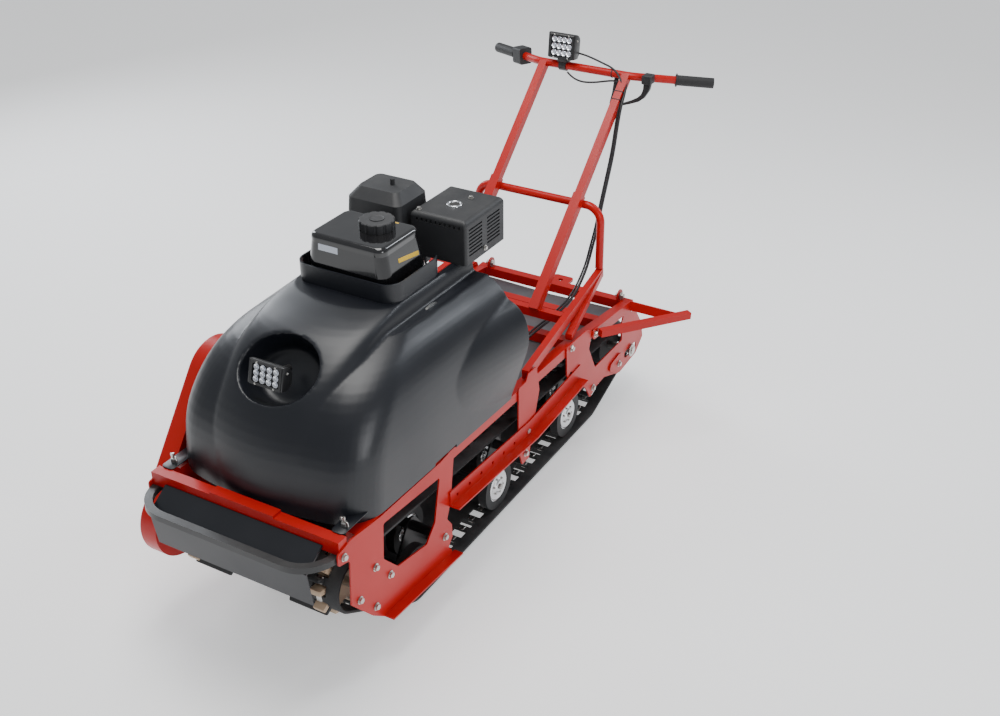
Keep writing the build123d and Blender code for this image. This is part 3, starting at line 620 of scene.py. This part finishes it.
case_clear = 110            # radius of the room round each end of the chain case
case_line = []
for back, z, turns in ((300, 560, range(-40, 141, 12)), (75, 265, range(140, 321, 12))):
    case_line += [(back + case_clear * math.cos(math.radians(a)), z + case_clear * math.sin(math.radians(a)))
                  for a in turns]
cut_away = bpy.data.materials.new("cut_away")
hood = lobe("hood_shell", crown)
combine(hood, lobe("hood_shoulder", shoulder), "UNION")
combine(hood, lobe("hood_flank", flank), "UNION")
clear()
bpy.ops.mesh.primitive_cylinder_add(vertices=72, radius=1, depth=0.138)
bowl = bpy.context.object
rim_half, floor_half, bowl_tilt = (0.123, 0.108), (0.087, 0.072), 43
for vertex in bowl.data.vertices:
    wide, tall = rim_half if vertex.co.z > 0 else floor_half
    vertex.co.x, vertex.co.y = vertex.co.x * tall, vertex.co.y * wide
round_edges(bowl, 0.022, 5, 40)
bowl_rise = math.radians(90 - bowl_tilt)
bowl_way = Vector((math.cos(bowl_rise), 0, math.sin(bowl_rise)))
bowl.data.transform(Matrix.Translation(at(166, 0, 744) - bowl_way * 0.009)
                    @ Matrix.Rotation(math.radians(bowl_tilt), 4, "Y"))
combine(hood, bowl, "DIFFERENCE")
finished(hood, "REMESH", mode="VOXEL", voxel_size=0.0048, adaptivity=0.0)
finished(hood, "SMOOTH", factor=0.5, iterations=4)
collar = slab(block_outline(428, 655, 151), 790, collar_top, radius=44, segments=10)
combine(hood, collar, "UNION")
cutters = [
    slab(block_outline(434, 809, 145), 700, 900, radius=38, segments=10),
    slab(behind_front([(-100, 300), (-100, 446.1), (20, 442.3), (hood_rear + 40, 417.6),
                       (hood_rear + 40, 300)]), -400, 400, axis="Y"),
    slab(block_outline(hood_rear - 8, hood_rear + 40, 500), 300, 950),
    slab(behind_front(case_line), -400, -283, axis="Y"),
    slab(behind_front([(382, 422), (482, 422), (482, 438), (382, 438)]), -400, 400, axis="Y"),
]
for cutter in cutters:
    cutter.data.materials.append(cut_away)
    combine(hood, cutter, "DIFFERENCE")
hood_form = bmesh.new()
hood_form.from_mesh(hood.data)
cut_slots = {k for k, slot in enumerate(hood.data.materials) if slot == cut_away}
open_above = (collar_top - 0.2) / 1000
gone = [f for f in hood_form.faces
        if f.material_index in cut_slots or f.calc_center_median().z > open_above]
bmesh.ops.delete(hood_form, geom=gone, context="FACES")
bmesh.ops.remove_doubles(hood_form, verts=hood_form.verts, dist=0.0001)
hood_form.to_mesh(hood.data)
hood_form.free()
finished(hood, "SOLIDIFY", thickness=hood_wall, offset=-1.0)
hood = hand_over(hood, "hood_skin", "root", "hood_plastic", hood_skin, angle=50)
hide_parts("hood")
flaps = []
for side in (-1, 1):
    flap_line = behind_front([(12, side * 236), (12, side * 273), (118, side * 273), (118, side * 236)])
    flap = slab(flap_line, 462.4, 465.4, radius=12)
    round_edges(flap, 0.001)
    flaps.append(flap)
hand_over(weld(*flaps), "hood_flaps", "root", "hood_plastic", hood_skin)

# Track: one wide rubber belt with two rows of windows for the sprocket teeth, a steel clip round each bar
# between two windows, and moulded lugs that stand in three rows by turns.
rounds = ((0.808, 0.265, 0.074), (0.537, 0.101, 0.081), (-0.463, 0.101, 0.081), (-0.671, 0.174, 0.080))
belt_pitch, belt_thick, window_y, window_half = 0.0517, 0.008, 0.195, 0.0195
lug_height = 0.0198
tooth_turn = 10.5           # degrees from level to the first tooth of a sprocket


def touching(one, two):
    """Outward direction of the straight run from one round to the next, going down at the front."""
    run = Vector((two[0] - one[0], two[1] - one[1]))
    share = (one[2] - two[2]) / run.length
    run.normalize()
    return run * share + Vector((-run.y, run.x)) * math.sqrt(1 - share * share)


pieces_of_path = []
for k, here in enumerate(rounds):
    arrive, leave = touching(rounds[k - 1], here), touching(here, rounds[(k + 1) % 4])
    start_angle = math.atan2(arrive.y, arrive.x)
    sweep = (start_angle - math.atan2(leave.y, leave.x)) % (2 * math.pi)
    there = rounds[(k + 1) % 4]
    run_from = Vector(here[:2]) + leave * here[2]
    run_to = Vector(there[:2]) + leave * there[2]
    pieces_of_path.append(("arc", sweep * here[2], here, start_angle))
    pieces_of_path.append(("run", (run_to - run_from).length, run_from, run_to))
path_length = sum(piece[1] for piece in pieces_of_path)


def on_belt(distance):
    """Point on the belt's outer face and the direction that looks out of it, at this distance along it."""
    distance %= path_length
    for kind, size, a, b in pieces_of_path:
        if distance <= size:
            if kind == "arc":
                angle = b - distance / a[2]
                out = Vector((math.cos(angle), math.sin(angle)))
                return Vector(a[:2]) + out * a[2], out
            way = (b - a).normalized()
            return a + way * distance, Vector((-way.y, way.x))
        distance -= size
    return on_belt(0)


window_count = round(path_length / belt_pitch)
belt_pitch = path_length / window_count
belt_start = (pieces_of_path[0][3] - math.radians(tooth_turn)) * rounds[0][2]
belt_form = bmesh.new()
across = (-0.25, -window_y - window_half, -window_y + window_half, -0.09, 0.09,
          window_y - window_half, window_y + window_half, 0.25)
rows = []
for k in range(window_count):
    for share in (-0.3, -0.1, 0.1, 0.3, 0.5):
        spot, out = on_belt(belt_start + (k + share) * belt_pitch)
        rows.append([belt_form.verts.new((spot.x, y, spot.y)) for y in across])
for k in range(len(rows)):
    nearer, further = rows[k], rows[(k + 1) % len(rows)]
    for column in range(len(across) - 1):
        if column in (1, 5) and k % 5 < 3:
            continue
        belt_form.faces.new((nearer[column], nearer[column + 1], further[column + 1], further[column]))
belt = from_form(belt_form, "belt")
start_out = on_belt(belt_start)[1]
if belt.data.polygons[0].normal.dot(Vector((start_out.x, 0, start_out.y))) < 0:
    belt.data.flip_normals()
finished(belt, "SOLIDIFY", thickness=belt_thick, offset=-1.0)
round_edges(belt, 0.0014, 2, 40)


def stand_on_belt(master, distance, y):
    """A copy of the master on the belt, its height outwards and its length along Y."""
    spot, out = on_belt(distance)
    up = Vector((out.x, 0, out.y))
    turned = Matrix((Vector((0, 1, 0)).cross(up), Vector((0, 1, 0)), up)).transposed().to_4x4()
    twin = twin_of(master)
    twin.data.transform(Matrix.Translation((spot.x, y, spot.y)) @ turned)
    return twin


def lug_master(length):
    """A moulded lug with tapered sides and softened edges."""
    clear()
    bpy.ops.mesh.primitive_cube_add(size=1, location=(0, 0, lug_height / 2 - 0.0005))
    lug = bpy.context.object
    lug.scale = (0.014, length, lug_height + 0.001)
    bpy.ops.object.transform_apply(location=True, rotation=True, scale=True)
    pick(lug, lambda c, n: n.z > 0.9)
    bpy.ops.transform.resize(value=(0.66, (length - 0.008) / length, 1))
    bpy.ops.object.mode_set(mode="OBJECT")
    round_edges(lug, 0.0022, 2)
    return lug


middle_lug, outer_lug = lug_master(0.148), lug_master(0.119)
lugs = []
for k in range(window_count):
    distance = belt_start + (k + 0.5) * belt_pitch
    if k % 2:
        lugs += [stand_on_belt(outer_lug, distance, side * 0.1475) for side in (-1, 1)]
    else:
        lugs.append(stand_on_belt(middle_lug, distance, 0.0))
for spare in (middle_lug, outer_lug):
    bpy.data.objects.remove(spare)
track = hand_over(weld(belt, *lugs), "track_belt", "root", "track_rubber", track_rubber)
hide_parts("track")

clear()
bpy.ops.mesh.primitive_cube_add(size=1, location=(0, 0, -0.0035))
clip = bpy.context.object
clip.scale = (0.0200, 0.016, 0.0120)
bpy.ops.object.transform_apply(location=True, rotation=True, scale=True)
round_edges(clip, 0.003, 3)
clips = [stand_on_belt(clip, belt_start + (k + 0.5) * belt_pitch, side * window_y)
         for k in range(window_count) for side in (-1, 1)]
bpy.data.objects.remove(clip)
hand_over(weld(*clips), "track_clips", "root", "zinc", bolt_zinc)

# Drive sprockets: cast nylon wheels with nine square teeth that reach through the windows of the belt.
toothed = []
teeth = 9
axle_x, axle_z = rounds[0][:2]
for side in (-1, 1):
    centre = (axle_x, side * window_y, axle_z)
    clear()
    bpy.ops.mesh.primitive_cylinder_add(vertices=72, radius=0.062, depth=0.034, location=centre,
                                        rotation=(math.radians(90), 0, 0))
    wheel = bpy.context.object
    pick(wheel, lambda c, n: abs(n.y) > 0.9)
    bpy.ops.mesh.inset(thickness=0.012)
    bpy.ops.mesh.inset(thickness=0.002)
    bpy.ops.object.mode_set(mode="OBJECT")
    toothed.append(wheel)
    for k in range(teeth):
        angle = math.radians(tooth_turn + 360 / teeth * k)
        clear()
        bpy.ops.mesh.primitive_cube_add(size=1)
        tooth = bpy.context.object
        tooth.scale = (0.040, 0.034, 0.018)
        bpy.ops.object.transform_apply(location=True, rotation=True, scale=True)
        pick(tooth, lambda c, n: n.x > 0.9)
        bpy.ops.transform.resize(value=(1, 0.94, 0.78))
        bpy.ops.object.mode_set(mode="OBJECT")
        round_edges(tooth, 0.0018, 2)
        tooth.data.transform(Matrix.Translation(centre) @ Matrix.Rotation(-angle, 4, "Y")
                             @ Matrix.Translation((0.070, 0, 0)))
        toothed.append(tooth)
sprockets = hand_over(weld(*toothed), "sprocket_wheels", "root", "sprocket_nylon", nylon)
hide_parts("drive_sprockets")

# Wheel hubs: a pressed cap with a dished face, a ring of rivets and the nut of the axle, on both faces of
# each road wheel.
clear()
bpy.ops.mesh.primitive_cylinder_add(vertices=40, radius=0.0455, depth=0.0022, location=(0, 0, 0.0011))
cap = bpy.context.object
pick(cap, lambda c, n: n.z > 0.9)
bpy.ops.mesh.inset(thickness=0.004)
bpy.ops.transform.translate(value=(0, 0, 0.0022))
bpy.ops.mesh.inset(thickness=0.010)
bpy.ops.transform.translate(value=(0, 0, -0.0030))
bpy.ops.mesh.inset(thickness=0.011)
bpy.ops.transform.translate(value=(0, 0, 0.0012))
bpy.ops.mesh.inset(thickness=0.004)
bpy.ops.transform.translate(value=(0, 0, 0.0042))
bpy.ops.object.mode_set(mode="OBJECT")
round_edges(cap, 0.0009, 2)
faces = []
for back in (414, 847, 1278):
    for reach, y in ((-68, 222), (68, 110)):
        for side in (-1, 1):
            faces += [(at(back + reach, side * y + turn * 11, 101), (0, turn, 0)) for turn in (-1, 1)]
rivets = []
for spot, way in faces:
    for k in range(6):
        angle = math.radians(60 * k + 15)
        outward = Vector((math.cos(angle), 0, math.sin(angle)))
        rivets.append((spot + outward * 0.0245 + Vector(way) * 0.0008, way))
caps = set_out(cap, faces)
nuts = set_out(bolt(0.015, 0.007, 0.0125), [(spot + Vector(way) * 0.002, way) for spot, way in faces])
hand_over(weld(caps), "hub_caps", "root", "polished_hub", polished)
hand_over(weld(nuts, set_out(bolt(0.0045, 0.0016, 0.0034), rivets)), "hub_nuts", "root", "zinc", bolt_zinc)

# Rear ears: a plated hexagon head on each face of the two ears that stand up from the rear bar.
heads = [(at(1551, side * 244.2, 364), (0, side, 0)) for side in (-1, 1)]
heads += [(at(1551, side * 235.8, 364), (0, -side, 0)) for side in (-1, 1)]
hand_over(set_out(bolt(0.015, 0.0065, 0.012), heads), "ear_bolts", "root", "zinc", bolt_zinc)

# Lamps: two die-cast aluminium pods with a ribbed back, end plates and twelve reflector cups behind a bezel.
# One stands in the hood's bowl, the other is clamped to the handlebar.
reflector = finish_of("lens_reflector", (0.86, 0.88, 0.92), (0.60, 0.62, 0.68), 0.20, 0.05, 700, 0.30,
                      metal=1.0)


def lamp_pod(name, body, node, centre, way, width, height, depth, fixings):
    """Pod, end plates, screws and cups in their own frame: out of the front is +Z there, up is +Y."""
    crest = [(0, height / 2 - 5), (-3, height / 2 - 1)]
    for k in range(9):
        angle = math.radians(90 - k * 10.5)
        for step, rise in ((0.0, 0.0), (4.0, 0.0), (4.6, -1.7), (7.6, -1.7)):
            turn = angle - math.radians(step)
            crest.append((-6 - (depth - 4) * math.cos(turn), height / 2 - 24 + (24 + rise) * math.sin(turn)))
    profile = crest + [(-depth - 1, -height / 2 + 14), (-depth + 10, -height / 2), (0, -height / 2)]
    shell = slab([(b, a) for a, b in profile], -width / 2 + 5, width / 2 - 5, axis="X")
    ends = []
    for side in (-1, 1):
        plate_line = [(-1, -height / 2 + 1), (-1, height / 2 - 1)]
        for k in range(8):
            angle = math.radians(90 - k * 12)
            plate_line.append((-6 - (depth - 4) * math.cos(angle), height / 2 - 25 + 25 * math.sin(angle)))
        plate_line += [(-depth - 1, -height / 2 + 14), (-depth + 10, -height / 2 + 0.5)]
        end = slab([(b, a) for a, b in plate_line], side * width / 2 - (5 if side > 0 else 0),
                   side * width / 2 + (0 if side > 0 else 5), axis="X")
        round_edges(end, 0.0012)
        ends.append(end)
    pocket = slab([(-width / 2 + 10, -height / 2 + 6), (width / 2 - 10, -height / 2 + 6),
                   (width / 2 - 10, height / 2 - 8), (-width / 2 + 10, height / 2 - 8)], -5, 4, radius=5)
    combine(shell, pocket, "DIFFERENCE")
    screws = [(Vector((x * width * 0.27, y, 0)) / 1000, (0, 0, 1)) for x in (-1, 1)
              for y in (-height / 2 + 3.2, height / 2 - 5.4)]
    heads = set_out(bolt(0.0032, 0.0014, 0.0026), screws)
    hinges = [(Vector((side * width / 2, height * 0.24, -depth * 0.42)) / 1000, (side, 0, 0))
              for side in (-1, 1)]
    sides = set_out(bolt(0.0042, 0.0016, 0.0034), hinges)
    cups = []
    cell_x, cell_y = (width - 24) / 4, (height - 16) / 3
    for column in range(4):
        for row in range(3):
            clear()
            bpy.ops.mesh.primitive_cylinder_add(
                vertices=24, radius=min(cell_x, cell_y) / 2000 + 0.0002, depth=0.0035,
                location=((column - 1.5) * cell_x / 1000, ((row - 1) * cell_y - 1) / 1000, -0.0034))
            cup = bpy.context.object
            pick(cup, lambda c, n: n.z > 0.9)
            bpy.ops.mesh.inset(thickness=0.0006)
            bpy.ops.mesh.inset(thickness=0.0034)
            bpy.ops.transform.translate(value=(0, 0, -0.0030))
            bpy.ops.mesh.inset(thickness=0.0010)
            bpy.ops.transform.translate(value=(0, 0, 0.0022))
            bpy.ops.object.mode_set(mode="OBJECT")
            cups.append(cup)
    side_way = Vector((0, 1, 0))
    out = Vector(way).normalized()
    stand = Matrix((side_way, out.cross(side_way), out)).transposed().to_4x4()
    place = Matrix.Translation(centre) @ stand
    pod = weld(shell, *ends)
    screws_all = weld(heads, sides)
    cup_field = weld(*cups)
    for piece in (pod, screws_all, cup_field):
        piece.data.transform(place)
    pod = weld(pod, *fixings)
    pod = hand_over(pod, f"{name}_pod", body, "lamp_black", lamp_black)
    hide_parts(node)
    hand_over(screws_all, f"{name}_screws", body, "zinc", bolt_zinc)
    hand_over(cup_field, f"{name}_cups", body, "polished_hub", reflector)


clear()
bpy.ops.mesh.primitive_cylinder_add(vertices=24, radius=0.009, depth=0.060, location=at(175, 0, 732),
                                    rotation=(0, math.radians(74.4), 0))
stem = bpy.context.object
round_edges(stem, 0.001)
lamp_pod("nose_lamp", "root", "hood_lamp", at(118, 0, 748), (1, 0, 0.28), 100, 60, 34, [stem])
clear()
bpy.ops.mesh.primitive_cube_add(size=1, location=at(1735, -74, 1039))
foot = bpy.context.object
foot.scale = (0.026, 0.034, 0.016)
round_edges(foot, 0.002)
clear()
bpy.ops.mesh.primitive_cylinder_add(vertices=32, radius=0.0172, depth=0.024, location=at(1735, -74, 1019.6),
                                    rotation=(math.radians(90), 0, 0))
ring = bpy.context.object
pick(ring, lambda c, n: abs(n.z) > 0.9)
bpy.ops.mesh.delete(type="FACE")
bpy.ops.object.mode_set(mode="OBJECT")
finished(ring, "SOLIDIFY", thickness=0.0042, offset=-1.0)
lamp_pod("bar_lamp", "handle", "bar_lamp", at(1713, -74, 1085.6), (1, 0, 0.1), 92, 78, 38, [foot, ring])

# Engine fittings: a chromed outlet ring and three bolts on the muffler guard, the dished middle of the
# filler cap, and the blank stickers of the tank.
clear()
bpy.ops.mesh.primitive_torus_add(major_radius=0.0175, minor_radius=0.0036, major_segments=40,
                                 minor_segments=12, location=at(784, 104, 942.4))
outlet = bpy.context.object
finished(outlet, "BEVEL", width=0.0001)
chrome = finish_of("chrome_ring", (0.88, 0.89, 0.90), (0.75, 0.76, 0.78), 0.14, 0.05, 500, 0.04, metal=1.0)
hand_over(weld(outlet), "outlet_ring", "root", "polished_hub", chrome)
# A near-black dish fills the outlet ring: painted shade of the open pipe, together with its soot.
clear()
bpy.ops.mesh.primitive_cylinder_add(vertices=32, radius=0.0160, depth=0.0012, location=at(784, 104, 942.6))
mouth = bpy.context.object
pick(mouth, lambda c, n: n.z > 0.9)
bpy.ops.mesh.inset(thickness=0.002)
bpy.ops.transform.translate(value=(0, 0, -0.0008))
bpy.ops.object.mode_set(mode="OBJECT")
shade_and_soot = finish_of("outlet_shade_and_soot", (0.006, 0.006, 0.006), (0.012, 0.011, 0.010), 0.9, 0.7, 400, 0.3)
hand_over(weld(mouth), "outlet_mouth", "root", "matte_black", shade_and_soot)
bolt_spots = [(at(790, 190, 838), (0, 1, 0)), (at(840, 120, 942), (0, 0, 1)), (at(715, 40, 942), (0, 0, 1))]
guard_bolts = set_out(bolt(0.010, 0.004, 0.0075), bolt_spots)
hand_over(guard_bolts, "guard_bolts", "root", "zinc", bolt_zinc)

clear()
bpy.ops.mesh.primitive_cylinder_add(vertices=40, radius=0.019, depth=0.002, location=at(552, 24, 977.2))
middle = bpy.context.object
pick(middle, lambda c, n: n.z > 0.9)
bpy.ops.mesh.inset(thickness=0.0035)
bpy.ops.transform.translate(value=(0, 0, -0.0016))
bpy.ops.mesh.inset(thickness=0.009)
bpy.ops.transform.translate(value=(0, 0, 0.0010))
bpy.ops.object.mode_set(mode="OBJECT")
round_edges(middle, 0.0005)
hand_over(weld(middle), "cap_middle", "root", "matte_black", matte_black)


def sticker(name, corners, made, slot):
    """A thin film on a face, its corners given in order as seen from outside."""
    form = bmesh.new()
    form.faces.new([form.verts.new(corner) for corner in corners])
    piece = from_form(form, name)
    finished(piece, "SOLIDIFY", thickness=0.0003, offset=1.0)
    hand_over(piece, name, "root", slot, made)


white_film = finish_of("white_film", (0.62, 0.66, 0.74), (0.56, 0.60, 0.68), 0.34, 0.22, 600, 0.03)
yellow_film = finish_of("yellow_film", (0.80, 0.50, 0.015), (0.70, 0.43, 0.010), 0.40, 0.28, 600, 0.04)
sticker("tank_front_film",
        (at(444.6, -78, 929.5), at(444.6, -20, 929.5), at(443.6, -20, 913), at(443.6, -78, 913)),
        white_film, "deck_grey")
sticker("tank_side_film",
        (at(505, 114.9, 908), at(505, 116.8, 897), at(590, 118.8, 885), at(590, 116.9, 896)),
        yellow_film, "sprocket_nylon")
sticker("tank_top_film",
        (at(596, -25, 952.1), at(601, -25, 952.1), at(601, 57, 952.1), at(596, 57, 952.1)),
        yellow_film, "sprocket_nylon")

# Cables: a sheathed pair that comes up from under the hood, hangs free below the left leg and is tied to it
# under the bar, and the lamp's lead over the bar with a loop below it.
cable_black = finish_of("cable_sheath", (0.010, 0.010, 0.012), (0.018, 0.018, 0.020), 0.55, 0.36, 1400,
                        0.20, dust=0.04)


def cable(name, places, thick):
    """A tube along a smooth free line with these control points, and the points of that line."""
    line = bpy.data.curves.new(name, "CURVE")
    line.dimensions = "3D"
    spline = line.splines.new("NURBS")
    spline.points.add(len(places) - 1)
    for knot, place in zip(spline.points, places):
        knot.co = (*at(*place), 1)
    spline.order_u = 3
    spline.use_endpoint_u = True
    line.resolution_u = 8
    piece = bpy.data.objects.new(name, line)
    bpy.context.scene.collection.objects.link(piece)
    bpy.context.view_layer.update()
    bare = bpy.data.meshes.new_from_object(piece.evaluated_get(bpy.context.evaluated_depsgraph_get()))
    route = [tuple(vertex.co) for vertex in bare.vertices]
    line.bevel_depth, line.bevel_resolution, line.use_fill_caps = thick / 2, 3, True
    take(piece)
    bpy.ops.object.convert(target="MESH")
    piece = bpy.context.object
    bpy.ops.object.shade_smooth()
    piece.name = piece.data.name = name
    piece.data.materials.append(cable_black)
    return piece, route


hanging = (
    (800, 172, 446), (870, 172, 440), (980, 173, 436), (1087, 172, 431), (1199, 172, 424),
    (1292, 172, 425), (1351, 172, 434), (1386, 173, 454), (1415, 174, 478), (1441, 175, 507),
    (1465, 175, 548), (1500, 174, 600), (1529, 173, 667), (1567, 172, 742), (1604, 171, 817),
    (1632, 167, 892), (1661, 163, 949), (1690, 160, 978), (1716, 152, 1001),
)
for name, thick, shift, size in (
    ("throttle_cable", 0.0085, (0, 0, 0), 1.24),
    ("brake_cable", 0.0065, (3, -8.5, 3), 1.24),
):
    piece, route = cable(name, [(b + shift[0], y + shift[1], z + shift[2]) for b, y, z in hanging], thick)
    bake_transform(piece)
over_bar = (
    (1756, -48, 1058), (1772, -30, 1052), (1766, 10, 1046), (1752, 50, 1041), (1738, 88, 1037),
    (1722, 118, 1028), (1706, 140, 1008), (1694, 153, 984), (1684, 160, 966),
)
under_bar = (
    (1735, -62, 999), (1733, -45, 985), (1731, -10, 976), (1732, 30, 980), (1734, 70, 990),
    (1731, 100, 998), (1726, 122, 1000),
)
thick = 0.006
for name, size, places in (("lamp_lead", 0.266, over_bar), ("switch_lead", 0.21, under_bar)):
    piece, route = cable(name, places, thick)
    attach(piece, "handle")

ties = []
leg_down = Vector((0.731354, 0, -0.681998))
for along in (62, 90):
    clear()
    bpy.ops.mesh.primitive_cube_add(size=1)
    band = bpy.context.object
    band.scale = (0.0275, 0.0275, 0.003)
    bpy.ops.object.transform_apply(location=True, rotation=True, scale=True)
    round_edges(band, 0.001)
    band.data.transform(Matrix.Translation(at(1735, 143, 1019.6) + leg_down * along / 1000)
                        @ Matrix.Rotation(math.radians(-47), 4, "Y"))
    ties.append(band)
clear()
bpy.ops.mesh.primitive_cylinder_add(vertices=24, radius=0.0142, depth=0.003, location=at(1735, 96, 1019.6),
                                    rotation=(math.radians(90), 0, 0))
ties.append(bpy.context.object)
round_edges(ties[-1], 0.0008)
hand_over(weld(*ties), "cable_ties", "handle", "belt_rubber", cable_black)

# Brake lever and kill-switch strap under the left end of the bar; a flange at the inner end of each grip.
lever_line = [(228, 1012), (223, 986), (207, 959), (190, 945), (162, 933), (137, 924), (134, 930), (160, 942),
              (182, 955), (196, 969), (202, 986), (203, 1012)]
lever = slab(lever_line, frame_front - 1743, frame_front - 1729, axis="X")
round_edges(lever, 0.0022, 3, 50)
strap_line = [(118, 1010), (103, 1010), (97, 960), (89, 922), (98, 920), (110, 957)]
strap = slab(strap_line, frame_front - 1738, frame_front - 1733, axis="X")
round_edges(strap, 0.001)
pivot_line = [(200, 1006), (231, 1006), (231, 1034), (200, 1034)]
pivot = slab(pivot_line, frame_front - 1752, frame_front - 1718, axis="X", radius=4)
round_edges(pivot, 0.0025, 3)
hand_over(weld(lever, strap, pivot), "brake_lever", "handle", "matte_black", matte_black)
flanges = []
for side in (-1, 1):
    end, bend = at(1855, side * 378, 999), at(1735, side * 159, 1019.6)
    way = (bend - end).normalized()
    clear()
    bpy.ops.mesh.primitive_cylinder_add(vertices=36, radius=0.0205, depth=0.0035)
    collar_ring = bpy.context.object
    round_edges(collar_ring, 0.0014, 3)
    upright = way.to_track_quat("Z", "Y").to_matrix().to_4x4()
    collar_ring.data.transform(Matrix.Translation(end + way * 0.111) @ upright)
    flanges.append(collar_ring)
hand_over(weld(*flanges), "grip_flanges", "handle", "grip_rubber", grip_rubber)
